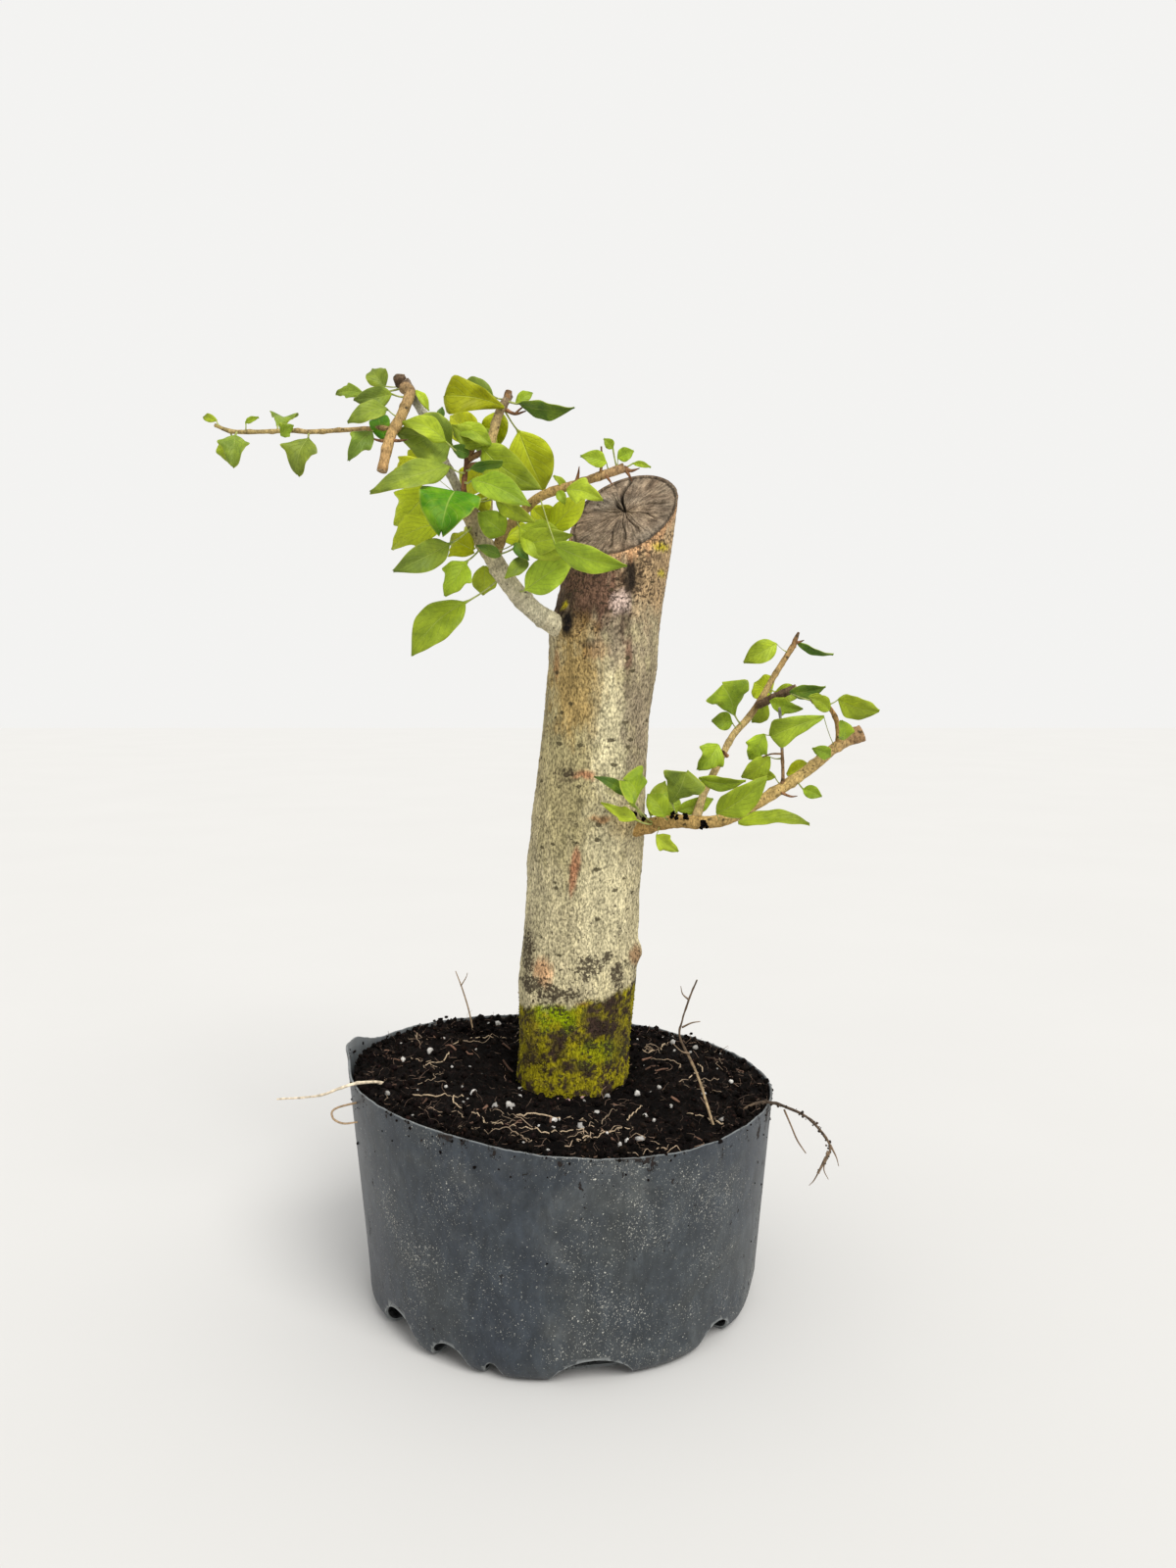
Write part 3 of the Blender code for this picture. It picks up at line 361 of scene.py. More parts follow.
# Leaves too small for a solid of their own, in the same terms.
SMALL_LEAVES = on_side("left", (
    ("stub_west", "cut_stub", (-88, -30, 108), (-102, -26, 109), 8, "lobed", 8),
    ("stub_green", "cut_stub", (-75, -48, 84), (-80, -40, 98), 10, "oval"),
    ("stub_right", "bent_branch", (-63, -36, 108), (-57, -38, 99), 4.5, "oval", -20),
    ("small_lime", "left_branch", (-64, -28, 79), (-75, -24, 72), 12, "lobed"),
    ("dark_small", "left_branch", (-26, -28, 35), (-36, -34, 39), 6, "oval"),
    ("round", "side_shoot", (-24, -28, 45), (-35, -34, 54), 14, "oval", 6),
    ("sail_back", "upper_shoot", (-31, -2, 113), (-47, 4, 122), 10, "oval", 10),
    ("small_tip", "upper_shoot", (-20, -1, 110), (-12, 2, 116), 6, "oval"),
    ("arch", "upper_shoot", (-33, -28, 85), (-47, -34, 93), 11, "oval"),
    ("wing_dark", "left_twig", (-39, -32, 74), (-21, -40, 75), 6, "oval", 30),
    ("back_lime", "upper_shoot", (-38, -8, 92), (-52, -4, 104), 16, "oval", -8),
    ("mid_lime", "upper_shoot", (-36, -4, 78), (-48, 2, 70), 15, "oval"),
    ("behind_joint", "side_shoot", (-26, -8, 44), (-14, -4, 52), 14, "oval"),
    ("low_wing", "left_branch", (-60, -20, 60), (-72, -12, 66), 12, "lobed"),
    ("above_olive", "left_twig", (-49, -44, 84), (-67, -50, 92), 11, "oval", 20),
    ("bud_dark", "bent_branch", (-53, -30, 96), (-52, -30, 102), 4, "oval"),
    ("bud_left", "bent_branch", (-54, -29, 95), (-59, -32, 98), 4, "oval"),
    ("small_mid", "left_twig", (-46, -28, 94), (-41, -32, 86), 6, "oval", 15),
    ("over_bud", "left_twig", (-46, -29, 93), (-29, -36, 84), 10, "oval", -15),
    ("at_buds", "left_twig", (-40, -30, 81), (-47, -36, 83), 7, "oval"),
    ("lime_gap", "upper_shoot", (-29, -20, 76), (-17, -20, 70), 12, "oval"),
    ("over_shoot", "left_branch", (-28, -30, 61), (-11, -38, 49), 9, "oval", 20),
    ("lime_behind", "left_branch", (-32, -16, 64), (-39, -14, 58), 10, "oval"),
    ("west_lime", "bent_branch", (-56, -16, 82), (-78, -18, 73), 17, "lobed"),
    ("shoot_small", "side_shoot", (4, -30, 65), (-1, -32, 71), 4, "oval", 20),
    ("shoot_below", "side_shoot", (1, -32, 64), (4, -34, 58), 5, "oval"),
    ("mid_front", "left_branch", (-18, -26, 40), (6, -40, 43), 13, "oval", 8),
    ("olive_low", "left_branch", (-14, -24, 34), (-23, -34, 25), 8, "oval"),
    ("dark_low", "left_branch", (-19, -28, 41), (-13, -34, 33), 6, "oval"),
    ("back_high", "upper_shoot", (-30, -4, 96), (-40, 8, 86), 16, "oval", 10),
    ("back_east", "side_shoot", (-12, -20, 58), (-2, -8, 50), 15, "oval"),
    ("back_low", "left_branch", (-34, -12, 44), (-46, -2, 52), 14, "lobed"),
    ("tip_a", "side_shoot", (23, -36, 76), (12, -42, 78), 8, "oval"),
    ("tip_b", "side_shoot", (26, -32, 83), (22, -34, 87), 5, "oval"),
    ("tip_c", "side_shoot", (28, -36, 78), (35, -38, 81), 7, "oval"),
    ("tip_d", "side_shoot", (35, -34, 76), (43, -36, 74), 3, "oval"),
    ("far_tip", "long_twig", (-151, -44, 93), (-158, -42, 95), 4, "oval"),
    ("far_small", "long_twig", (-138, -44, 92), (-132, -46, 94), 3, "oval"),
    ("mid_small", "long_twig", (-122, -46, 86), (-116, -48, 90), 8, "lobed"),
)) + on_side("right", (
    ("top_fold", "right_shoot", (80, 9, 93), (98, 6, 85), 5, "oval", 50),
    ("over_dark", "right_branch", (-4, -20, 19), (-19, -28, 29), 6, "oval", 25),
    ("end_small", "end_twig", (82, -16, 66), (90, -14, 66), 5, "oval", 30),
    ("low_back", "right_branch", (14, -14, 8), (6, -10, 19), 12, "oval", 10),
    ("round", "right_shoot", (48, -2, 53), (38, -4, 54), 10, "oval"),
    ("dark", "end_twig", (74, -12, 68), (90, -18, 70), 8, "oval", 20),
    ("behind_stub", "right_shoot", (70, 6, 68), (82, 4, 66), 10, "oval"),
    ("twig_end", "end_twig", (92, -20, 60), (82, -24, 66), 8, "oval"),
    ("lime", "thin_twig", (65, -12, 37), (52, -8, 26), 11, "oval", -8),
    ("knot", "end_twig", (98, -26, 46), (96, -31, 55), 9, "oval", 20),
    ("cut_end", "right_branch", (92, -24, 38), (83, -28, 42), 7, "oval"),
    ("narrow", "right_branch", (30, -18, 27), (52, -22, 25), 8, "oval", 20),
    ("behind", "right_branch", (8, 0, 7), (16, 6, 24), 11, "oval"),
    ("back_low", "right_branch", (21, -4, 10), (40, 2, 15), 9, "oval"),
    ("back_mid", "right_branch", (12, -6, 8), (22, -2, 18), 13, "oval"),
    ("over_low", "right_branch", (0, -26, 8), (-16, -36, 17), 8, "lobed", 10),
    ("below", "right_branch", (10, -14, -1), (20, -20, -8), 10, "lobed"),
    ("small", "right_branch", (80, -20, 22), (88, -24, 19), 7, "oval"),
    ("pair_a", "right_branch", (68, -10, 27), (58, -6, 28), 6, "oval"),
    ("pair_b", "right_branch", (74, -8, 28), (86, -4, 33), 9, "oval"),
))

# Colours of a leaf's face; a leaf that isn't named here is "mid".
TINTS = {
    "mid": srgb(138, 162, 38),
    # lime is the young leaves' yellow-green, made brighter as a painted glow of light shining through the
    # blade
    "lime": srgb(190, 204, 36),
    "fresh": srgb(156, 180, 46),
    "yellow": srgb(160, 170, 8),
    "olive": srgb(116, 138, 46),
    "dark": srgb(84, 118, 40),
    "emerald": srgb(66, 126, 4),
}
TINTED = {
    "lime": "left_big_lime left_behind_lime left_low_lime left_under_lime left_small_lime left_back_lime "
            "left_mid_lime left_behind_joint left_lime_gap left_lime_behind left_west_lime left_back_east "
            "left_back_low right_bright",
    "fresh": "left_near_lime left_midrib left_hang_lime left_pale left_stub_right left_pointed "
            "right_lime_low right_lime right_folded right_below right_over_low",
    "yellow": "left_yellow left_sail left_behind_shoot right_pair_b",
    "olive": "left_big_olive left_long_folded left_low_dark left_stub_low left_olive_low left_stub_mid "
            "left_far_lobed left_hanging left_upright left_inner left_stub_round left_stub_west "
            "left_sail_back right_triangle",
    "dark": "left_dark_small left_wing_dark left_right_tip left_bud_dark left_at_buds left_dark_low "
            "left_small_mid right_over_dark right_top_fold right_dark",
    "emerald": "left_emerald left_stub_green",
}
# Leaves whose face turns further than the plain CAD solid's, by degrees.
TURNED = {"right_over_trunk": 64, "right_big_east": 14, "left_right_tip": 12, "left_pointed": 12}

# Short growths: name, what they are made of, and (x, y, z, radius) rows from the side's root.
Spur = namedtuple("Spur", "side kind points")
SPURS = (
    Spur("right", "dead", ((60.5, 0.2, 61.5, 1.9), (67, -3, 65, 2.0), (73, -6, 68, 1.9),
                           (78, -7.8, 70.5, 1.7))),
    Spur("right", "warm", ((100, -13, 44.5, 2.6), (103.5, -12.5, 46, 3.4), (107, -12, 47.5, 4.3),
                           (109.5, -12, 48.5, 4.2))),
    Spur("right", "twig", ((68.8, -20, 39, 0.5), (64.4, -21, 39, 0.4), (60, -22, 37.6, 0.35))),
    Spur("right", "twig", ((87.5, -19, 63.5, 0.9), (85, -19, 63.6, 1.3), (83, -19, 65, 0.6))),
    Spur("right", "twig", ((79, 8, 90, 1.4), (80, 8, 94, 1.2), (81.5, 8, 97.5, 0.6))),
    Spur("right", "thorn", ((79, 8, 92, 0.9), (82, 7, 92.8, 0.6), (84, 7, 93.6, 0.2))),
    Spur("right", "thorn", ((70, -18, 20, 0.8), (74, -20, 18.5, 0.5), (77, -21, 18.8, 0.2))),
    Spur("right", "thorn", ((45, -6, 37, 1.1), (43.5, -8, 38.5, 0.8), (42.5, -9, 40, 0.3))),
    Spur("left", "thorn", ((-73, -50, 83.5, 1.0), (-77, -50, 83, 0.7), (-82, -50, 84.4, 0.2))),
    Spur("left", "thorn", ((-73, -50, 83.5, 1.0), (-69, -51, 82.8, 0.7), (-65, -51, 83.2, 0.2))),
    Spur("left", "twig", ((-24, -5, 111, 1.9), (-23.5, -4.5, 113.5, 1.8), (-23.2, -4.3, 115, 1.5))),
    Spur("left", "thorn", ((-25, -6, 106, 1.0), (-20, -8, 103.5, 0.7), (-15, -9, 104.6, 0.3))),
    Spur("left", "thorn", ((-20, -8, 103.7, 0.6), (-17, -9, 106, 0.4), (-14.6, -9, 107.5, 0.2))),
    Spur("left", "thorn", ((9, -33, 67, 1.1), (10, -34, 70.5, 0.7), (10.6, -34, 74.5, 0.2))),
    Spur("left", "twig", ((20, -35, 70, 0.8), (20.8, -36, 76, 0.6), (20.6, -36, 83, 0.4))),
    Spur("left", "thorn", ((22, -35, 71, 0.9), (24, -36, 68.5, 0.6), (25.6, -36, 66, 0.2))),
    Spur("left", "thorn", ((31, -34, 74, 1.2), (34, -35, 72.5, 0.8), (38, -35, 73.6, 0.2))),
    Spur("left", "thorn", ((31, -34, 74, 1.2), (33, -35, 71, 0.7), (34.6, -35, 67.8, 0.2))),
    Spur("left", "thorn", ((-41, -24, 54, 1.0), (-46, -25, 54.5, 0.6), (-52, -26, 55.5, 0.3))),
    Spur("left", "twig", ((-41, -25, 80, 1.6), (-44.5, -26, 83.5, 1.5), (-46, -26, 85.5, 0.6))),
    Spur("left", "twig", ((-41, -25, 80, 1.6), (-39, -26, 84.5, 1.7), (-38.6, -26, 87.5, 0.6))),
    Spur("left", "twig", ((-41, -25, 79, 1.4), (-36.5, -26, 81.5, 1.4), (-34.4, -26, 83, 0.5))),
    Spur("left", "twig", ((-41, -25, 76, 1.2), (-38.5, -27, 76.5, 1.3), (-36.5, -27, 77.5, 0.5))),
    Spur("left", "dead", ((-68, -34, 109, 2.6), (-70.4, -35, 112.6, 3.1), (-70.6, -35.4, 115, 2.2))),
)

# Small roots on the soil, hanging and standing: (x, y, z, radius) rows from SOIL_LEVEL.
ROOTLETS = (
    ((-84, -37, 8, 0.5), (-103, -50, 8, 0.5), (-105, -52, 4, 0.5), (-100, -54, 2, 0.5), (-93, -55, 3, 0.4)),
    ((106, -34, 1, 0.5), (109, -37, -6, 0.4), (112, -37, -13, 0.4), (116, -38, -19, 0.25)),
    ((127, -40, -14, 0.6), (130, -40, -20, 0.3), (131, -41, -24, 0.15)),
    ((126, -40, -17, 0.6), (124, -41, -25, 0.3), (126, -42, -30, 0.15)),
    ((125, -40, -20, 0.6), (120, -41, -30, 0.3), (117, -42, -33, 0.15)),
    ((-50, 56, 6, 0.5), (-53, 60, 20, 0.45), (-57, 62, 33, 0.4), (-61, 64, 43, 0.25)),
    ((-58, 62, 35, 0.35), (-55, 61, 40, 0.25), (-54, 60, 43, 0.15)),
    ((57, -37, 42, 0.5), (61, -40, 45, 0.35), (65, -41, 46, 0.2)),
    ((60, -42, 31, 0.5), (56, -45, 33, 0.35), (52, -46, 37, 0.2)),
    ((60, -36, 55, 0.5), (57, -37, 58, 0.3), (56, -38, 62, 0.15)),
)
# Rootlets that lie on the soil, (x, y) only.
SURFACE_ROOTS = (
    ((-72, -48), (-62, -46), (-52, -40), (-45, -42)), ((-50, -42), (-49, -54), (-44, -60)),
    ((-43, -60), (-36, -68), (-33, -76)), ((-32, -74), (-20, -77), (-6, -77), (6, -74), (12, -70)),
    ((15, -75), (26, -69), (33, -66)), ((30, -60), (34, -48), (38, -40)), ((58, -48), (68, -55), (74, -60)),
    ((8, -84), (14, -79), (20, -76)), ((-20, -60), (-8, -56), (2, -60), (10, -57)),
    ((-60, 40), (-44, 52), (-30, 56)), ((40, 40), (52, 50), (58, 62)), ((-70, 0), (-62, 12), (-60, 26)),
    ((64, 0), (72, 14), (70, 26)), ((-16, 64), (0, 72), (16, 70)),
)


# ---- shader nodes ----

def node(tree, kind, inputs=(), **settings):
    made = tree.nodes.new("ShaderNode" + kind)
    for name, value in settings.items():
        setattr(made, name, value)
    for name, value in dict(inputs).items():
        if isinstance(value, bpy.types.NodeSocket):
            tree.links.new(value, made.inputs[name])
        else:
            made.inputs[name].default_value = value
    return made


def new_material(name, roughness, specular):
    """A Principled material, with what is the same all over set on its sockets."""
    material = bpy.data.materials.new(name)
    material.use_nodes = True
    tree = material.node_tree
    shader = tree.nodes["Principled BSDF"]
    shader.inputs["Roughness"].default_value = roughness
    shader.inputs["Specular IOR Level"].default_value = specular
    return material, tree, shader


def place(tree, scale=(1, 1, 1)):
    """Object coordinates in metres, stretched."""
    coordinates = node(tree, "TexCoord").outputs["Object"]
    return node(tree, "Mapping", {"Vector": coordinates, "Scale": scale}).outputs[0]


def speckle(tree, vector, scale, detail=4, rough=0.55, twist=0.0):
    return node(tree, "TexNoise", {"Vector": vector, "Scale": scale, "Detail": detail,
                                   "Roughness": rough, "Distortion": twist}).outputs["Fac"]


def ramp(tree, factor, *stops):
    made = node(tree, "ValToRGB", {"Fac": factor})
    points = made.color_ramp.elements
    while len(points) < len(stops):
        points.new(0.5)
    for point, (place_, colour) in zip(points, stops):
        point.position = place_
        point.color = (*colour, 1) if isinstance(colour, tuple) else (colour, colour, colour, 1)
    return made.outputs["Color"]


def mix(tree, factor, first, second, blend="MIX"):
    made = node(tree, "Mix", data_type="RGBA", blend_type=blend)
    for index, value in ((0, factor), (6, first), (7, second)):     # 6 and 7 are the two colours
        if isinstance(value, bpy.types.NodeSocket):
            tree.links.new(value, made.inputs[index])
        elif index == 0:
            made.inputs[index].default_value = value
        else:
            made.inputs[index].default_value = (*value, 1)
    return made.outputs[2]


def times(tree, colour, factor):
    """A colour multiplied by another."""
    return mix(tree, 1.0, colour, factor, "MULTIPLY")


def math_node(tree, operation, *values):
    made = node(tree, "Math", operation=operation)
    for socket, value in zip(made.inputs, values):
        if isinstance(value, bpy.types.NodeSocket):
            tree.links.new(value, socket)
        else:
            socket.default_value = value
    return made.outputs[0]


def bump(tree, shader, height, distance, strength=1.0):
    """Bump on top of whatever the shader has already."""
    made = node(tree, "Bump", {"Height": height, "Distance": distance, "Strength": strength})
    normal = shader.inputs["Normal"]
    if normal.links:
        tree.links.new(normal.links[0].from_socket, made.inputs["Normal"])
    tree.links.new(made.outputs[0], normal)


def tint_of(tree, output="Color"):
    return node(tree, "VertexColor", layer_name="tint").outputs[output]


def finish_colour(tree, shader, colour, roughness=None):
    tree.links.new(colour, shader.inputs["Base Color"])
    if roughness:
        tree.links.new(roughness, shader.inputs["Roughness"])


# ---- materials ----

def bark(name, fibre, contrast, flecks, relief, roughness=0.85):
    """Bark over the painted tint, whose alpha says how thickly dark flecks lie.

    fibre is the scale across the stem's grain, contrast its strength, flecks how far the limit for
    dark spots is lowered, and relief the depth of the bumps.
    """
    material, tree, shader = new_material(name, roughness, 0.12)
    density = tint_of(tree, "Alpha")
    broad = speckle(tree, place(tree, (1, 1, 0.4)), fibre * 0.12, 4, 0.6, 0.3)
    strands = speckle(tree, place(tree, (1, 1, 0.25)), fibre, 4, 0.6, 0.2)
    grain = speckle(tree, place(tree, (1, 1, 0.6)), fibre * 1.15, 3, 0.55)
    colour = times(tree, tint_of(tree), ramp(tree, broad, (0.3, 1 - 0.35 * contrast),
                                                (0.7, 1 + 0.3 * contrast)))
    colour = times(tree, colour, ramp(tree, strands, (0.34, 1 - 0.32 * contrast),
                                         (0.5, 1.0), (0.66, 1 + 0.25 * contrast)))
    colour = times(tree, colour, ramp(tree, grain, (0.36, 1 - 0.62 * contrast), (0.5, 1.0),
                                         (0.64, 1 + 0.6 * contrast)))
    dots = speckle(tree, place(tree, (1, 1, 1.2)), fibre * 0.62, 3, 0.6)
    dots = math_node(tree, "ADD", dots, math_node(tree, "MULTIPLY", density, 0.26))
    spots = ramp(tree, dots, (0.72 - flecks, 0.0), (0.79 - flecks, 0.85))
    colour = mix(tree, spots, colour, (0.040, 0.028, 0.018))
    lenticel = node(tree, "TexVoronoi", {"Vector": place(tree, (1, 1, 1.7)), "Scale": fibre * 0.125,
                                         "Randomness": 1.0})
    edge = math_node(tree, "ADD", lenticel.outputs["Distance"], math_node(tree, "MULTIPLY", dots, 0.5))
    rim = ramp(tree, edge, (0.40, 0.85), (0.48, 0.0))
    chosen = node(tree, "SeparateColor", {"Color": lenticel.outputs["Color"]}).outputs[0]
    rim = math_node(tree, "MULTIPLY", rim, ramp(tree, chosen, (0.40, 0.0), (0.45, 1.0)))
    colour = mix(tree, rim, colour, (0.05, 0.04, 0.02))
    finish_colour(tree, shader, colour)
    bump(tree, shader, strands, relief * 1.5, 0.7)
    bump(tree, shader, grain, relief, 0.8)
    bump(tree, shader, spots, relief * 1.4, 0.7)
    bump(tree, shader, rim, relief * 1.6, 0.8)
    return material


def end_grain(name, light, dark):
    """A weathered cut across the wood, over a painted shade."""
    material, tree, shader = new_material(name, 0.9, 0.1)
    flat = place(tree)
    fine = speckle(tree, flat, 1100, 6, 0.7)
    broad = speckle(tree, flat, 110, 5, 0.6, 1.0)
    colour = times(tree, ramp(tree, broad, (0.32, dark), (0.68, light)),
                 ramp(tree, fine, (0.3, 0.5), (0.5, 1.0), (0.7, 1.6)))
    finish_colour(tree, shader, times(tree, colour, tint_of(tree)))
    bump(tree, shader, fine, 0.5 * MM, 0.9)
    return material


def pot_plastic():
    """Matt polyethylene: the tint's red is the cut lip, green the soil that clings, blue painted shade
    inside.
    """
    material, tree, shader = new_material("pot_plastic", 0.46, 0.34)
    flat = place(tree)
    lip, clinging, inside = node(tree, "SeparateColor", {"Color": tint_of(tree)}).outputs
    broad = speckle(tree, flat, 13, 4, 0.6, 0.5)
    haze = speckle(tree, flat, 34, 5, 0.65, 0.4)
    scuffs = speckle(tree, place(tree, (1, 1, 0.5)), 150, 6, 0.75, 0.4)
    colour = ramp(tree, broad, (0.30, srgb(42, 48, 57)), (0.5, srgb(50, 56, 62)), (0.7, srgb(60, 64, 65)))
    colour = mix(tree, ramp(tree, haze, (0.50, 0.0), (0.72, 0.32)), colour, srgb(100, 101, 97))
    colour = times(tree, colour, ramp(tree, scuffs, (0.34, 0.66), (0.5, 0.97), (0.66, 1.4)))
    patches = ramp(tree, speckle(tree, flat, 26, 3, 0.6), (0.40, 0.0), (0.70, 0.09))
    dust = math_node(tree, "ADD", speckle(tree, flat, 820, 4, 0.65), patches)
    dots = ramp(tree, dust, (0.695, 0.0), (0.735, 0.85))
    fine = math_node(tree, "ADD", speckle(tree, flat, 1300, 3, 0.6), patches)
    dots = math_node(tree, "MAXIMUM", dots, ramp(tree, fine, (0.665, 0.0), (0.735, 0.5)))
    colour = mix(tree, dots, colour, srgb(205, 203, 192))
    soil = math_node(tree, "ADD", speckle(tree, place(tree, (1, 1, 0.7)), 130, 6, 0.75),
                     math_node(tree, "MULTIPLY", clinging, 0.22))
    soil = ramp(tree, soil, (0.665, 0.0), (0.69, 1.0))
    colour = mix(tree, soil, colour, srgb(36, 29, 26))
    # painted shade: the inside wall goes near black low down
    colour = mix(tree, inside, colour, (0.016, 0.017, 0.018))
    colour = mix(tree, lip, colour, srgb(138, 142, 142))
    rough = ramp(tree, math_node(tree, "MAXIMUM", soil, dots), (0.0, 0.40), (1.0, 0.95))
    rough = math_node(tree, "ADD", rough, ramp(tree, haze, (0.4, 0.0), (0.7, 0.12)))
    finish_colour(tree, shader, colour, rough)
    bump(tree, shader, scuffs, 0.2 * MM, 0.5)
    bump(tree, shader, haze, 1.2 * MM, 0.3)
    bump(tree, shader, soil, 0.9 * MM, 0.9)
    return material


def peat():
    material, tree, shader = new_material("peat", 0.96, 0.08)
    flat = place(tree)
    broad = speckle(tree, flat, 110, 5, 0.7)
    fine = speckle(tree, flat, 560, 6, 0.8)
    colour = ramp(tree, fine, (0.35, srgb(7, 6, 5)), (0.56, srgb(20, 15, 13)), (0.66, srgb(58, 40, 34)),
                  (0.75, srgb(108, 82, 70)))
    colour = times(tree, colour, ramp(tree, broad, (0.35, 0.5), (0.65, 1.5)))
    finish_colour(tree, shader, times(tree, colour, tint_of(tree)))
    bump(tree, shader, broad, 1.6 * MM, 0.8)
    bump(tree, shader, fine, 1.2 * MM, 1.0)
    return material


def dry(name, scale, depth, roughness=0.9):
    """A plain dry skin over the painted tint, for roots, perlite, fibres and moss."""
    material, tree, shader = new_material(name, roughness, 0.25)
    fine = speckle(tree, place(tree), scale, 5, 0.65)
    colour = times(tree, tint_of(tree), ramp(tree, fine, (0.3, 0.55), (0.7, 1.35)))
    finish_colour(tree, shader, colour)
    bump(tree, shader, fine, depth, 0.8)
    return material


def leaf_skin(name, brightness, gloss):
    """A blade over its tint, with u along the midrib and v across it in the UV map."""
    material, tree, shader = new_material(name, gloss, 0.16)
    u, v, _ = node(tree, "SeparateXYZ", {"Vector": node(tree, "UVMap").outputs[0]}).outputs
    off = math_node(tree, "ABSOLUTE", math_node(tree, "SUBTRACT", v, 0.5))
    wave = math_node(tree, "SUBTRACT", math_node(tree, "MULTIPLY", u, 40.0),
                     math_node(tree, "MULTIPLY", off, 34.0))
    veins = ramp(tree, math_node(tree, "SINE", wave), (0.86, 0.0), (1.0, 1.0))
    between = ramp(tree, off, (0.02, 0.0), (0.08, 1.0), (0.38, 0.8), (0.46, 0.0))
    veins = math_node(tree, "MULTIPLY", veins, between)
    midrib = ramp(tree, off, (0.006, 1.0), (0.024, 0.0))
    midrib = math_node(tree, "MULTIPLY", midrib, ramp(tree, u, (0.0, 1.0), (0.95, 0.3)))
    flat = place(tree)
    broad = speckle(tree, flat, 75, 4, 0.6, 0.6)
    fine = speckle(tree, flat, 800, 5, 0.65)
    colour = mix(tree, ramp(tree, broad, (0.42, 0.0), (0.70, 0.30)), tint_of(tree), srgb(172, 184, 36))
    colour = times(tree, colour, ramp(tree, broad, (0.3, 0.70), (0.7, 1.18)))
    colour = times(tree, colour, ramp(tree, fine, (0.3, 0.86), (0.7, 1.12)))
    colour = times(tree, colour, ramp(tree, u, (0.0, 1.12), (0.5, 1.0), (1.0, 0.86)))
    colour = times(tree, colour, (brightness, brightness, brightness * 1.1))
    colour = mix(tree, math_node(tree, "MULTIPLY", veins, 0.16), colour, srgb(176, 196, 92))
    colour = mix(tree, math_node(tree, "MULTIPLY", midrib, 0.5), colour, srgb(186, 200, 104))
    edge = ramp(tree, off, (0.465, 0.0), (0.5, 0.45))
    colour = mix(tree, edge, colour, srgb(176, 180, 70))
    finish_colour(tree, shader, colour)
    bump(tree, shader, veins, -0.3 * MM, 0.7)
    bump(tree, shader, midrib, -0.5 * MM, 0.7)
    bump(tree, shader, broad, 0.8 * MM, 0.5)
    bump(tree, shader, fine, 0.12 * MM, 0.5)
    return material


def stage_paint():
    material, tree, shader = new_material("stage_paint", 0.95, 0.0)
    fine = speckle(tree, place(tree), 4, 3)
    finish_colour(tree, shader, ramp(tree, fine, (0.3, FLOOR_SHADE[0]), (0.7, FLOOR_SHADE[1])))
    return material


# ---- meshes ----

class Shape:
    """Points and faces of one piece, with a material slot for each face and a tint for each point."""

    def __init__(self):
        self.points, self.tints, self.uvs, self.faces, self.slots = [], [], [], [], []

    def add(self, points, faces, slot=0, tint=(1, 1, 1), uvs=None):
        """tint is one colour, or one for each point; slot is one number, or one for each face."""
        start = len(self.points)
        self.points.extend(points)
        self.tints.extend(tint if isinstance(tint, list) else [tint] * len(points))
        self.uvs.extend(uvs or [(0.5, 0.5)] * len(points))
        self.faces.extend([start + i for i in face] for face in faces)
        self.slots.extend(slot if isinstance(slot, list) else [slot] * len(faces))

    def loft(self, rings, slot=0, tint=(1, 1, 1), uvs=None, end_slot=None, slot_of=None):
        """A skin through closed rings of equal size, with a fan over each end."""
        size = len(rings[0])
        points = [point for ring in rings for point in ring]
        faces, slots = [], []
        for row in range(len(rings) - 1):
            for i in range(size):
                a, b = row * size + i, row * size + (i + 1) % size
                faces.append((a, b, b + size, a + size))
                slots.append(slot_of(row, i) if slot_of else slot)
        last = (len(rings) - 1) * size
        points.append(sum(rings[0], Vector()) / size)
        points.append(sum(rings[-1], Vector()) / size)
        for i in range(size):
            j = (i + 1) % size
            faces.append((j, i, len(points) - 2))
            faces.append((last + i, last + j, len(points) - 1))
            slots += [slot, slot if end_slot is None else end_slot]
        tints = tint
        if isinstance(tint, list):
            tints = tint + [tint[0], tint[-1]]
        self.add(points, faces, slots, tints, uvs + [uvs[0], uvs[-1]] if uvs else None)

    def build(self, name, materials, record_slot, replaced=(), sharp=40):
        mesh = bpy.data.meshes.new(name)
        mesh.from_pydata(self.points, [], self.faces)
        for material in materials:
            mesh.materials.append(material)
        mesh.polygons.foreach_set("material_index", self.slots)
        mesh.polygons.foreach_set("use_smooth", [True] * len(self.faces))
        colours = mesh.color_attributes.new("tint", "FLOAT_COLOR", "POINT")
        colours.data.foreach_set("color", np.array([(*tint, 1)[:4] for tint in self.tints], float).ravel())
        corners = np.empty(len(mesh.loops), int)
        mesh.loops.foreach_get("vertex_index", corners)
        mesh.uv_layers.new(name="UVMap").data.foreach_set("uv", np.array(self.uvs, float)[corners].ravel())
        mesh.set_sharp_from_angle(angle=math.radians(sharp))
        obj = bpy.data.objects.new(name, mesh)
        bpy.context.scene.collection.objects.link(obj)
        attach(obj, "root")
        if replaced:
            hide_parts(*replaced)
        return obj


def clamp(value):
    return min(1.0, max(0.0, value))


def smooth_path(points, per_span):
    """Catmull-Rom rows through rows of numbers."""
    rows = np.array(points, float)
    rows = np.vstack([2 * rows[0] - rows[1], rows, 2 * rows[-1] - rows[-2]])
    found = []
    for i in range(1, len(rows) - 2):
        before, here, after, later = rows[i - 1:i + 3]
        for t in np.arange(per_span) / per_span:
            found.append(0.5 * (2 * here + (after - before) * t
                                + (2 * before - 5 * here + 4 * after - later) * t ** 2
                                + (3 * here - before - 3 * after + later) * t ** 3))
    found.append(rows[-2])
    return np.array(found)


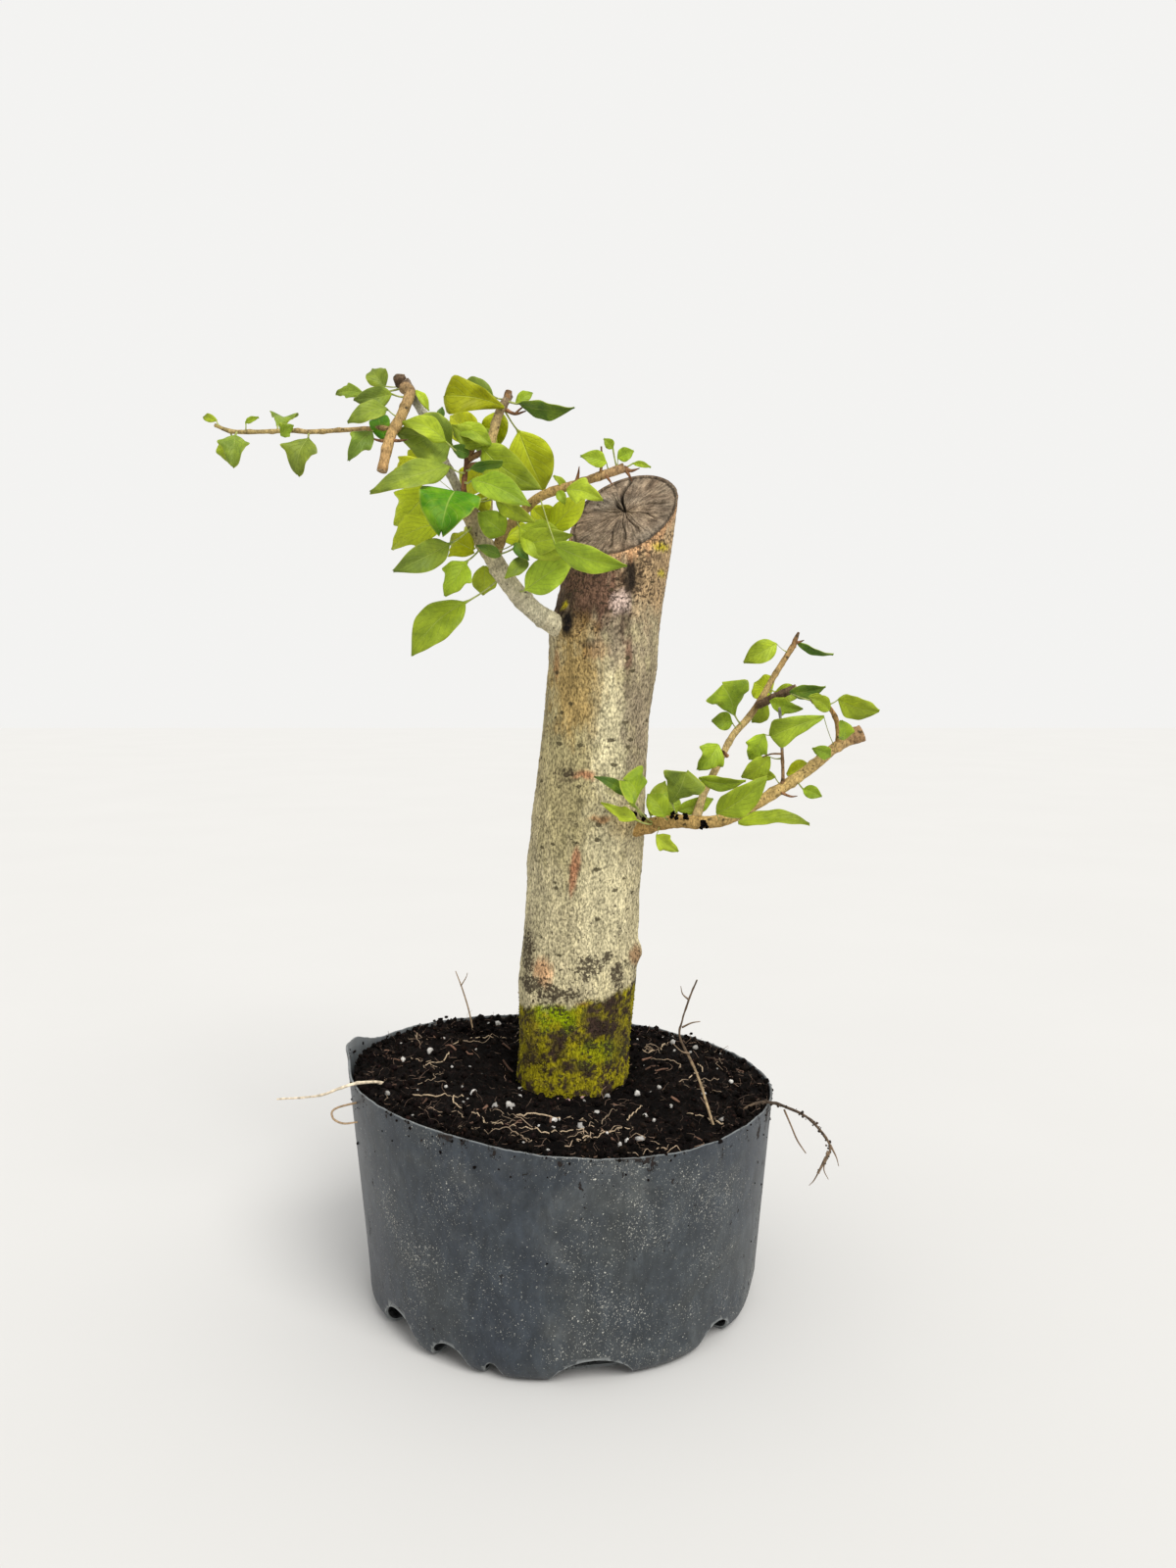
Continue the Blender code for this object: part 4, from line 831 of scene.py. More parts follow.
def evened(path, step):
    """The same path with a row at every step along it."""
    runs = np.linalg.norm(np.diff(path[:, :3], axis=0), axis=1)
    along = np.concatenate([[0], np.cumsum(runs)])
    marks = np.linspace(0, along[-1], max(3, math.ceil(along[-1] / step) + 1))
    return np.array([np.interp(marks, along, path[:, k]) for k in range(path.shape[1])]).T, marks


def swept(path, sides, skin=None, marks=None):
    """Rings round a path of (x, y, z, radius) rows, without twist.

    skin(distance, angle, centre) scales the radius, with the distances in marks.
    """
    centres = [Vector(row[:3]) for row in path]
    side = Vector((0.3, 0.5, 0.8))
    rings = []
    for k, centre in enumerate(centres):
        ahead = (centres[min(k + 1, len(centres) - 1)] - centres[max(k - 1, 0)]).normalized()
        side = (side - ahead * side.dot(ahead)).normalized()
        other = ahead.cross(side)
        ring = []
        for i in range(sides):
            angle = 2 * math.pi * i / sides
            radius = path[k][3] * (skin(marks[k], angle, centre) if skin else 1)
            ring.append(centre + (side * math.cos(angle) + other * math.sin(angle)) * radius)
        rings.append(ring)
    return rings


def outward(angle):
    """The level direction at an angle in radians."""
    return Vector((math.cos(angle), math.sin(angle), 0))


def icosphere(subdivisions):
    shape = bmesh.new()
    bmesh.ops.create_icosphere(shape, subdivisions=subdivisions, radius=1)
    points = [vertex.co.copy() for vertex in shape.verts]
    faces = [[vertex.index for vertex in face.verts] for face in shape.faces]
    shape.free()
    return points, faces


BALLS = {1: icosphere(1), 2: icosphere(2)}


def add_lump(shape, rng, centre, size, tint, rough=0.25, fine=1, squash=(0.6, 1.0)):
    """An uneven lump, turned at random."""
    points, faces = BALLS[fine]
    stretch = Vector([size * rng.uniform(*squash) for _ in range(3)])
    turn = Euler([rng.uniform(0, 2 * math.pi) for _ in range(3)]).to_matrix()
    moved = []
    for point in points:
        uneven = point * (1 + rough * rng.uniform(-1, 1))
        moved.append(centre + turn @ Vector([a * b for a, b in zip(uneven, stretch)]))
    shape.add(moved, faces, 0, tint)


def add_strand(shape, points, sides=4, tint=(1, 1, 1), per_span=4):
    """A thin thread through (x, y, z, radius) rows in metres."""
    shape.loft(swept(smooth_path(points, per_span), sides), tint=tint)


# ---- pot and soil ----

def away_from(angle, centre):
    return (angle - centre + 180) % 360 - 180


def rim_height(angle, with_flap=True):
    height = POT_HEIGHT + RIM_TILT * math.cos(math.radians(angle - RIM_TILT_ANGLE))
    for centre, spread, rise in RIM_WAVES:
        if rise < 0 or with_flap:
            height += rise * math.exp(-abs(away_from(angle, centre) / spread) ** 3)
    return height


def cut_height(angle):
    """The rim with the knife's nicks."""
    nick = noise.fractal(outward(math.radians(angle)) * 9, 0.6, 2.0, 4)
    return rim_height(angle) + RIM_NICK * nick


def wall_radius(height):
    share = (height - FOOT_HEIGHT) / (POT_HEIGHT - FOOT_HEIGHT)
    return FOOT_RADIUS + (RIM_RADIUS - FOOT_RADIUS) * share


def wobble(angle, height):
    share = max(0.0, height - FOOT_HEIGHT) / POT_HEIGHT
    return POT_WOBBLE * share * (math.sin(math.radians(2 * angle + 40))
                                 + 0.5 * math.sin(math.radians(5 * angle)))


def flap_lean(angle, height):
    share = max(0.0, height - SOIL_LEVEL) / (15 * MM)
    return FLAP_LEAN * math.exp(-abs(away_from(angle, FLAP_ANGLE) / FLAP_SPREAD) ** 3) * share ** 1.4


def foot_lobe(angle, height):
    """How far the foot bulges out there, or is drawn in beside a notch."""
    fade = max(0.0, 1 - height / LOBE_HEIGHT) ** 1.3 * min(1.0, height / (2.5 * MM))
    near = max(math.exp(-(away_from(angle, centre) / (0.75 * width)) ** 2) for centre, width, _ in NOTCHES)
    return fade * (LOBE_BULGE - (LOBE_BULGE + LOBE_PINCH) * near)


def wall_point(radius, height, angle, top):
    """A point of the turned wall, stretched so that POT_HEIGHT lands on top."""
    radius += foot_lobe(angle, height)
    if height > FOOT_HEIGHT:
        inset = wall_radius(height) - radius
        share = (height - FOOT_HEIGHT) / (POT_HEIGHT - FOOT_HEIGHT)
        height = FOOT_HEIGHT + share * (top - FOOT_HEIGHT)
        radius = wall_radius(height) - inset + wobble(angle, height) + flap_lean(angle, height)
    turn = math.radians(angle)
    return Vector((radius * math.cos(turn), radius * math.sin(turn), height))


def wall_profile(inset, wall_steps=22, foot_steps=8):
    points = [(0.02 * BASE_RADIUS, inset), (BASE_RADIUS * 0.5, inset)]
    for i in range(foot_steps):
        turn = math.radians(90 * i / foot_steps)
        points.append((BASE_RADIUS + (FOOT_RADIUS - BASE_RADIUS - inset) * math.sin(turn),
                       FOOT_HEIGHT - (FOOT_HEIGHT - inset) * math.cos(turn)))
    for i in range(wall_steps + 1):
        height = FOOT_HEIGHT + (POT_HEIGHT - FOOT_HEIGHT) * i / wall_steps
        points.append((wall_radius(height) - inset, height))
    return points


def clinging_soil(angle, height):
    """How much soil sticks to the wall: near the rim, at the sides and most at the right."""
    side = abs(math.cos(math.radians(angle)))
    right = max(0.0, math.cos(math.radians(angle)))
    near_rim = max(0.0, 1 - (rim_height(angle) - height) / (16 * MM))
    return min(1.0, 0.45 * near_rim + 0.2 * side ** 10 + 0.15 * right ** 4)


def add_notches(pot):
    """Cuts the drain notches through the foot, as rounded wedges."""
    shape = bmesh.new()
    inner, outer = 0.94 * BASE_RADIUS, 1.1 * FOOT_RADIUS
    for angle, width, height in NOTCHES:
        half_width = math.radians(width / 2) * FOOT_RADIUS * NOTCH_GROWTH
        made = bmesh.ops.create_cone(shape, cap_ends=True, segments=40, radius1=1, radius2=1,
                                     depth=outer - inner)
        put = (Matrix.Rotation(math.radians(angle), 4, "Z")
               @ Matrix.Translation(((inner + outer) / 2, 0, 0))
               @ Matrix.Diagonal((1, half_width, height * NOTCH_GROWTH, 1))
               @ Matrix.Rotation(math.radians(90), 4, "Y"))
        bmesh.ops.transform(shape, matrix=put, verts=made["verts"])
    mesh = bpy.data.meshes.new("notches")
    shape.to_mesh(mesh)
    shape.free()
    cutter = bpy.data.objects.new("notches", mesh)
    bpy.context.scene.collection.objects.link(cutter)
    cut = pot.modifiers.new("notches", "BOOLEAN")
    cut.operation = "DIFFERENCE"
    cut.solver = "EXACT"
    cut.object = cutter
    graph = bpy.context.evaluated_depsgraph_get()
    done = bpy.data.meshes.new_from_object(pot.evaluated_get(graph), preserve_all_data_layers=True,
                                           depsgraph=graph)
    pot.modifiers.clear()
    pot.data = done
    bpy.data.objects.remove(cutter)


def make_pot(materials):
    bevel = 0.35 * MM
    outside = wall_profile(0)
    inside = wall_profile(WALL)[::-1]
    outside[-1:] = [(RIM_RADIUS, POT_HEIGHT - bevel), (RIM_RADIUS - bevel, POT_HEIGHT)]
    inside[:1] = [(RIM_RADIUS - WALL + bevel, POT_HEIGHT), (RIM_RADIUS - WALL, POT_HEIGHT - bevel)]
    lip = range(len(outside) - 1, len(outside) + 1)
    rings, tints = [], []
    for k, (radius, height) in enumerate(outside + inside):
        ring = []
        for i in range(POT_ANGLES):
            angle = 360 * i / POT_ANGLES
            point = wall_point(radius, height, angle, cut_height(angle))
            ring.append(point)
            within = k > len(outside)
            # blue is a painted shade on the inside wall, more than 8 mm below the soil's level
            tints.append((0.6 if k in lip else 0.22 if within else 0.0,
                          0.0 if within else clinging_soil(angle, point.z),
                          0.7 if within and point.z < SOIL_LEVEL - 8 * MM else 0.0))
        rings.append(ring)
    shape = Shape()
    shape.loft(rings, tint=tints)
    add_notches(shape.build("pot_shell", [materials["pot"]], "pot_plastic", ["pot"]))


def soil_top(angle):
    return rim_height(angle, with_flap=False) - SOIL_DROP


def trunk_distance(x, y):
    """From the trunk's skin where it leaves the soil."""
    return math.hypot(x - 4.6 * MM, y - TRUNK_BACK) - TRUNK_RADIUS


def ground(x, y):
    """Height of the soil's surface, with its lumps and the sunken ring round the trunk."""
    angle = math.degrees(math.atan2(y, x))
    share = min(1.0, math.hypot(x, y) / RIM_RADIUS)
    climb = max(0.0, (share - 0.25) / 0.75)
    mound = SOIL_MOUND * math.sin(math.pi * climb ** 0.8)
    height = SOIL_LEVEL + (soil_top(angle) - SOIL_LEVEL) * climb ** 1.2 + mound
    spot = Vector((x, y, 0))
    height += SOIL_LUMPS * noise.noise(spot * LUMP_SCALE)
    height += SOIL_GRAIN * noise.fractal(spot * 210, 0.75, 2.1, 5)
    near = trunk_distance(x, y) / (7 * MM)
    return height - SOIL_SINK * math.exp(-near * near)


def make_soil(materials):
    edge = RIM_RADIUS - WALL - 0.5 * MM
    rings, tints = [], []
    for k in range(1, SOIL_RINGS + 1):
        radius = edge * k / SOIL_RINGS
        ring = []
        for i in range(SOIL_ANGLES):
            angle = 360 * i / SOIL_ANGLES
            turn = math.radians(angle)
            x, y = radius * math.cos(turn), radius * math.sin(turn)
            height = ground(x, y)
            limit = wall_radius(height) - WALL - 0.2 * MM + wobble(angle, height)
            if radius > limit:
                x, y = x * limit / radius, y * limit / radius
            ring.append(Vector((x, y, height)))
            shade = 0.75 + 0.5 * noise.noise(Vector((x, y, 0)) * 60)
            # painted shadow: the soil is darker round the trunk's foot
            dark = 1 - 0.6 * math.exp(-(trunk_distance(x, y) / (8 * MM)) ** 2)
            tints.append((shade * dark, shade * dark, shade * dark))
        rings.append(ring)
    rings.append([point - Vector((0, 0, SOIL_SKIRT)) for point in rings[-1]])
    tints += [(0.5, 0.5, 0.5)] * SOIL_ANGLES
    shape = Shape()
    shape.loft(rings, tint=tints)
    shape.build("soil_body", [materials["peat"]], "peat", ["soil"], sharp=180)


def on_soil(rng, inner=0.0, outer=0.97):
    """A random place on the soil, clear of the trunk."""
    while True:
        turn = rng.uniform(0, 2 * math.pi)
        radius = (RIM_RADIUS - WALL) * math.sqrt(rng.uniform(inner ** 2, outer ** 2))
        x, y = radius * math.cos(turn), radius * math.sin(turn)
        if trunk_distance(x, y) > 1 * MM:
            return x, y, turn


def root_hair(shape, rng, x, y, heading, length, radius, tint, lift=0.0):
    """A thin wandering root on the soil, with a branch or two."""
    rows, step = [], 1.6 * MM
    for k in range(int(length / step)):
        heading += rng.gauss(0, 0.42)
        x, y = x + step * math.cos(heading), y + step * math.sin(heading)
        if math.hypot(x, y) > RIM_RADIUS - 3 * WALL or trunk_distance(x, y) < 0.5 * MM:
            break
        rise = lift * math.sin(math.pi * min(1.0, k * step / length))
        rows.append((x, y, ground(x, y) + radius + rise, radius * (1.1 - 0.6 * k * step / length)))
        if length > 9 * MM and rng.random() < 0.12:
            turn = heading + rng.choice((-1, 1)) * rng.uniform(0.5, 1.1)
            root_hair(shape, rng, x, y, turn, length * 0.45, radius * 0.7, tint)
    if len(rows) > 2:
        add_strand(shape, rows, 5, tint, 2)


def soil_crumbs(rng):
    """Crumbs of peat of every size."""
    shape = Shape()
    for _ in range(CRUMBS):
        x, y, _ = on_soil(rng, 0.1 if rng.random() < 0.6 else 0.8, 0.99)
        size = (0.4 + 2.0 * rng.random() ** 3) * MM
        shade = rng.uniform(0.4, 1.8)
        tint = (shade, shade * rng.uniform(0.8, 1.0), shade * rng.uniform(0.7, 1.0))
        add_lump(shape, rng, Vector((x, y, ground(x, y) + size * 0.45)), size, tint, 0.35)
    return shape


def soil_perlite(rng):
    """Grains of perlite, the first of them reddish and in front of the trunk."""
    shape = Shape()
    for k in range(PERLITE):
        x, y, _ = on_soil(rng, 0.2, 0.96)
        if k < RED_GRAINS:
            x, y = rng.uniform(-14, 16) * MM, rng.uniform(-20, -16) * MM
        size = (0.6 + 1.6 * rng.random() ** 2) * MM
        light = rng.uniform(0.30, 0.66)
        tint = (light, light * 0.62, light * 0.58) if k < RED_GRAINS else (light, light * 0.96, light * 0.9)
        add_lump(shape, rng, Vector((x, y, ground(x, y) + size * 0.3)), size, tint, 0.3, 2, (0.6, 1.15))
    return shape


def soil_fibres(rng):
    """Fibres, more than half of them leaning out of the soil."""
    shape = Shape()
    for _ in range(FIBRES):
        x, y, turn = on_soil(rng, 0.1 if rng.random() < 0.5 else 0.75, 0.985)
        length = rng.uniform(2, 8) * MM
        lean = rng.uniform(0.05, 1.1) if rng.random() < 0.6 else 0.0
        turn += rng.uniform(-3.1, 3.1)
        thick = rng.uniform(0.06, 0.17) * MM
        base = ground(x, y)
        rows = []
        for k in range(4):
            bend = turn + 0.5 * math.sin(k * 1.3 + x * 900)
            along = length / 3 * k
            px = x + along * math.cos(bend) * math.cos(lean)
            py = y + along * math.sin(bend) * math.cos(lean)
            reach = max(1.0, math.hypot(px, py) / (RIM_RADIUS - 1.5 * WALL))
            rows.append((px / reach, py / reach, base + 0.3 * MM + along * math.sin(lean), thick))
        shade = rng.uniform(0.1, 1.0) ** 1.5
        add_strand(shape, rows, 3, (0.26 * shade, 0.17 * shade, 0.12 * shade), 2)
    return shape


def soil_chips(rng):
    """Chips of wood."""
    shape = Shape()
    for _ in range(WOOD_CHIPS):
        x, y, turn = on_soil(rng, 0.3, 0.96)
        half = rng.uniform(1.2, 4.0) * MM
        rows = [(x + s * half * math.cos(turn), y + s * half * math.sin(turn),
                 ground(x + s * half * math.cos(turn), y + s * half * math.sin(turn)) + 0.5 * MM,
                 rng.uniform(0.3, 0.7) * MM) for s in (-1, 0, 1)]
        shade = rng.uniform(0.3, 1.0)
        add_strand(shape, rows, 6, (0.22 * shade, 0.12 * shade, 0.08 * shade), 2)
    return shape


def soil_hairs(rng):
    """Thin roots that wander over the soil."""
    shape = Shape()
    for _ in range(HAIR_ROOTS):
        x, y, turn = on_soil(rng, 0.45, 0.95)
        light = rng.uniform(0.5, 1.0)
        root_hair(shape, rng, x, y, turn + rng.uniform(0.8, 5.4), rng.uniform(8, 34) * MM,
                  rng.uniform(0.14, 0.3) * MM, (0.46 * light, 0.34 * light, 0.23 * light),
                  rng.uniform(0, 2.5) * MM)
    return shape


def make_litter(materials):
    rng = random.Random(SEED)
    crumbs, perlite, fibres = soil_crumbs(rng), soil_perlite(rng), soil_fibres(rng)
    chips, hairs = soil_chips(rng), soil_hairs(rng)
    crumbs.build("peat_crumbs", [materials["peat"]], "peat", sharp=180)
    perlite.build("perlite", [materials["perlite"]], "peat", sharp=180)
    fibres.build("peat_fibres", [materials["fibre"]], "peat", sharp=180)
    chips.build("wood_chips", [materials["fibre"]], "peat", sharp=60)
    hairs.build("hair_roots", [materials["root"]], "root_skin", sharp=180)


def make_rim_crumbs(materials):
    """Crumbs on the cut rim and clinging to the wall, most at its sides, and a tuft at the back left."""
    rng = random.Random(SEED + 5)
    shape = Shape()
    for _ in range(WALL_CRUMBS):
        angle = rng.uniform(0, 360)
        top = cut_height(angle)
        drop = rng.random() ** 3 * 80 * MM
        keep = clinging_soil(angle, top - drop)
        if rng.random() > 0.10 + 0.9 * keep:
            continue
        height = top - 0.5 * MM - drop
        turn = math.radians(angle)
        radius = wall_radius(height) + wobble(angle, height) + foot_lobe(angle, height)
        size = (0.3 + 0.9 * rng.random() ** 2) * MM
        shade = rng.uniform(0.5, 1.5)
        add_lump(shape, rng, Vector((radius * math.cos(turn), radius * math.sin(turn), height)), size,
                 (shade, shade, shade), 0.35)
    for _ in range(EDGE_CRUMBS):
        angle = rng.uniform(0, 360)
        turn = math.radians(angle)
        radius = RIM_RADIUS - rng.uniform(1.5, 7) * MM
        x, y = radius * math.cos(turn), radius * math.sin(turn)
        size = rng.uniform(0.6, 1.7) * MM
        shade = rng.uniform(0.4, 1.3)
        add_lump(shape, rng, Vector((x, y, ground(x, y) + size * rng.uniform(0.3, 1.5))), size,
                 (shade, shade * 0.9, shade * 0.85), 0.35)
    for _ in range(TUFT_CRUMBS):
        x, y = rng.gauss(-52, 5) * MM, rng.gauss(58, 3) * MM
        size = rng.uniform(0.6, 1.6) * MM
        shade = rng.uniform(0.4, 1.3)
        add_lump(shape, rng, Vector((x, y, ground(x, y) + rng.uniform(0, 5) * MM)), size,
                 (shade, shade * 0.9, shade * 0.85), 0.35)
    shape.build("rim_crumbs", [materials["peat"]], "peat", sharp=180)


# ---- trunk ----

CRUST_SHADE = 0.45              # the rest of a crust is flecks
COLOURS = {name: Vector(srgb(*shade)) for name, shade in {
    # bright is paler bark, and in the front patches a painted highlight; olive and black also paint shadow
    # and shade
    "bark": (176, 164, 126), "bright": (206, 196, 158), "olive": (152, 142, 96), "golden": (160, 132, 78),
    "ash": (138, 124, 104), "tan": (176, 146, 106), "maroon": (98, 70, 56), "rust": (140, 98, 62),
    "pink": (206, 182, 170), "black": (24, 20, 18), "soot": (72, 58, 46), "lichen": (188, 172, 34),
    "scar": (170, 116, 84), "peach": (206, 156, 112), "crust": (62, 50, 38), "moss": (132, 148, 8),
    "gilt": (142, 132, 20), "earth": (56, 42, 36), "mud": (110, 98, 34),
}.items()}


def trunk_centre(height):
    heights, centres, _ = zip(*TRUNK_LINE)
    return Vector((np.interp(height / MM, heights, centres) * MM, TRUNK_BACK, SOIL_LEVEL + height))


def trunk_radius(height):
    heights, _, shares = zip(*TRUNK_LINE)
    return TRUNK_RADIUS * float(np.interp(height / MM, heights, shares))


def trunk_skin(height, angle):
    """A point of the bark, with its swellings and ridges."""
    centre = trunk_centre(height)
    out = outward(angle)
    radius = trunk_radius(height) * (1 + TRUNK_OVAL * math.sin(2 * angle + height * 20))
    for level, turn, along, round_, rise in SWELLINGS:
        near = ((height / MM - level) / along) ** 2 + (away_from(math.degrees(angle), turn) / round_) ** 2
        if near < 9:
            radius += rise * MM * math.exp(-near)
    spot = centre + out * TRUNK_RADIUS
    ridges = noise.fractal(Vector((spot.x * 150, spot.y * 150, spot.z * 45)), 0.7, 2.0, 4)
    pits = noise.fractal(spot * 420, 0.8, 2.0, 3)
    flare = ROOT_FLARE * math.exp(-max(0.0, height) / (10 * MM))
    return centre + out * (radius + BARK_RIDGES * ridges + BARK_PITS * pits + flare)


def saw_height(angle):
    """Where the slanted cut meets the trunk's skin in this direction."""
    middle = trunk_centre(TRUNK_HEIGHT)
    height = TRUNK_HEIGHT
    for _ in range(8):
        out = outward(angle)
        point = trunk_centre(height) + out * trunk_radius(height)
        height -= SAW_NORMAL.dot(point - middle) / SAW_NORMAL.z
    return height


def patch_share(x, height, middle_x, middle, half_x, half_height, ragged):
    """1 within a patch, falling to 0 past its ragged edge."""
    reach = math.hypot((x - middle_x) / half_x, (height - middle) / half_height)
    return clamp(1.9 - 1.5 * reach + ragged) if reach < 2 else 0.0


def trunk_paint(point, height, side):
    """The bark's colour at a point, with painted light and shade among its patches, and how thickly dark
    flecks lie there.

    side goes from -1 in front to 1 behind.
    """
    wave = noise.noise(point * 120) + 0.6 * noise.noise(point * 420)
    streak = noise.noise(Vector((point.x * 500, point.y * 500, point.z * 60)))
    x, level = point.x / MM + 1.2 * wave, height / MM + 2.0 * wave
    colour = COLOURS["bark"].lerp(COLOURS["ash"], 0.3 + 0.5 * wave)
    colour = colour.lerp(COLOURS["bright"], 0.45 * clamp((135 - level) / 30 + 0.6 * wave))
    high = clamp((level - 208 + 10 * streak) / 40)
    colour = colour.lerp(COLOURS["ash"], 0.8 * high)
    flecks = 0.10 + 0.45 * high + 0.5 * max(0.0, 1 - level / 125) + 0.3 * wave
    for px, middle, half_x, half_height, name, strength, face in PATCHES:
        share = patch_share(x, level, px, middle, half_x, half_height, 0.5 * streak + 0.5 * wave)
        if face:
            share *= clamp(0.5 + 2 * side * face)
        if share:
            strength *= CRUST_SHADE if name == "crust" else 1
            colour = colour.lerp(COLOURS[name], strength * share)
            if name == "crust":
                flecks += 0.75 * share
            # the front bright patches are partly a painted highlight, with fewer flecks
            elif name == "bright":
                flecks -= 0.15 * share
    below_cut = SAW_NORMAL.dot(trunk_centre(TRUNK_HEIGHT) - point) / MM
    if below_cut < 6:
        colour = colour.lerp(COLOURS["peach"], 0.6 * clamp(1.2 - below_cut / 4 + streak))
    edge = 46 + 5 * (x - 6) / 28 + 2.5 * wave
    moss = clamp((edge - height / MM) / 2.5)
    if moss:
        patch = noise.noise(point * 150 + Vector((3, 1, 2))) + 0.9 * noise.noise(point * 480)
        mossy = COLOURS["mud"].lerp(COLOURS["earth"], clamp(0.25 + 1.6 * patch))
        mossy = mossy.lerp(COLOURS["gilt"], clamp(0.7 - 2.2 * patch))
        if side < 0:
            for px, middle, half_x, half_height, name, strength in MOSS_PATCHES:
                share = patch_share(x, level, px, middle, half_x, half_height, 0.6 * wave + 0.8 * patch)
                mossy = mossy.lerp(COLOURS[name], strength * share * 0.9)
        colour = colour.lerp(mossy, moss)
        flecks = flecks * (1 - moss) + moss * (0.55 + 0.6 * patch)
    return (*colour, clamp(flecks))


def crack_depth(share, angle):
    """How deep the sawn face is cracked there; angle in degrees, share from the meeting point out."""
    depth = 0.0
    for k, (direction, reach, width, deep) in enumerate(CRACKS):
        bent = direction + 9 * math.sin(5 * share + k)
        off = math.sin(math.radians(away_from(angle, bent))) * share * TRUNK_RADIUS
        if abs(away_from(angle, bent)) < 80 and share < reach:
            half = width * MM / 2 * (0.5 + 0.8 * share)
            depth = max(depth, deep * MM * math.exp(-(off / half) ** 2) * min(1.0, (reach - share) * 5))
    return depth


def make_trunk(materials):
    sides = TRUNK_SIDES
    shape = Shape()
    rings, tints = [], []
    tops = [saw_height(2 * math.pi * i / sides) for i in range(sides)]
    for row in range(TRUNK_ROWS + 1):
        share = row / TRUNK_ROWS
        ring = []
        for i in range(sides):
            angle = 2 * math.pi * i / sides
            height = -TRUNK_DEPTH + (tops[i] + TRUNK_DEPTH) * share
            point = trunk_skin(height, angle)
            ring.append(point)
            tints.append(trunk_paint(point, height, math.sin(angle)))
        rings.append(ring)
    side_rows = len(rings) - 1
    middle = trunk_centre(TRUNK_HEIGHT) + Vector((0.5 * MM, 2 * MM, 0))
    middle -= SAW_NORMAL * SAW_NORMAL.dot(middle - trunk_centre(TRUNK_HEIGHT))
    outer = rings[-1]
    for row in range(1, FACE_ROWS):
        share = 1 - row / FACE_ROWS
        ring = []
        for i in range(sides):
            angle = 360 * i / sides
            point = middle.lerp(outer[i], share)
            turn = math.radians(angle)
            spot = Vector((math.cos(turn) * 16, math.sin(turn) * 16, share * 3))
            rough = noise.fractal(spot, 0.6, 2.0, 4)
            depth = crack_depth(share, angle)
            bark_ring = math.exp(-((share - 0.94) / 0.02) ** 2) * 1.0 * MM
            ring.append(point - SAW_NORMAL * (depth + bark_ring + 0.5 * MM * rough))
            # painted shade: the face is darker the deeper a crack is
            dark = 1 - 0.8 * min(1.0, depth / (2.2 * MM))
            dark *= 1 - 0.7 * math.exp(-((share - 0.945) / 0.02) ** 2)
            rays = noise.fractal(Vector((math.cos(turn) * 22, math.sin(turn) * 22, share * 4)), 0.5, 2.2, 4)
            light = 1.0 + 0.75 * rays + 0.3 * noise.noise(point * 90)
            light = min(1.9, max(0.35, light)) * dark
            warm = 1 + 0.12 * noise.noise(point * 60)
            tints.append((light * warm, light, light * (2 - warm)))
        rings.append(ring)
    shape.loft(rings, tint=tints, slot_of=lambda row, _: 1 if row >= side_rows else 0, end_slot=1)
    shape.build("trunk_stump", [materials["trunk"], materials["sawn"]], "trunk_bark", ["trunk"], sharp=60)


def make_moss(materials):
    """Low tufts over the trunk's foot."""
    rng = random.Random(SEED + 1)
    shape = Shape()
    for _ in range(MOSS_TUFTS):
        angle = rng.uniform(0, 2 * math.pi)
        height = rng.uniform(-0.05, 1) * MOSS_TOP
        point = trunk_skin(height, angle)
        red, green, blue, _ = trunk_paint(point, height, math.sin(angle))
        light = rng.uniform(0.7, 1.35)
        add_lump(shape, rng, point, rng.uniform(0.3, 0.75) * MM,
                 (red * light, green * light, blue * light), 0.35)
    shape.build("moss", [materials["moss"]], "trunk_bark", sharp=180)


# ---- branches and roots ----

def side_root(side):
    """The point on the trunk's skin that a side's branches are measured from."""
    height, angle = {"left": (LEFT_HEIGHT, LEFT_ANGLE), "right": (RIGHT_HEIGHT, RIGHT_ANGLE)}[side]
    out = outward(math.radians(angle))
    return trunk_centre(height) + out * trunk_radius(height)


def placed(points, origin, per_span=8):
    rows = smooth_path(points, per_span) * MM
    rows[:, :3] += origin
    return rows


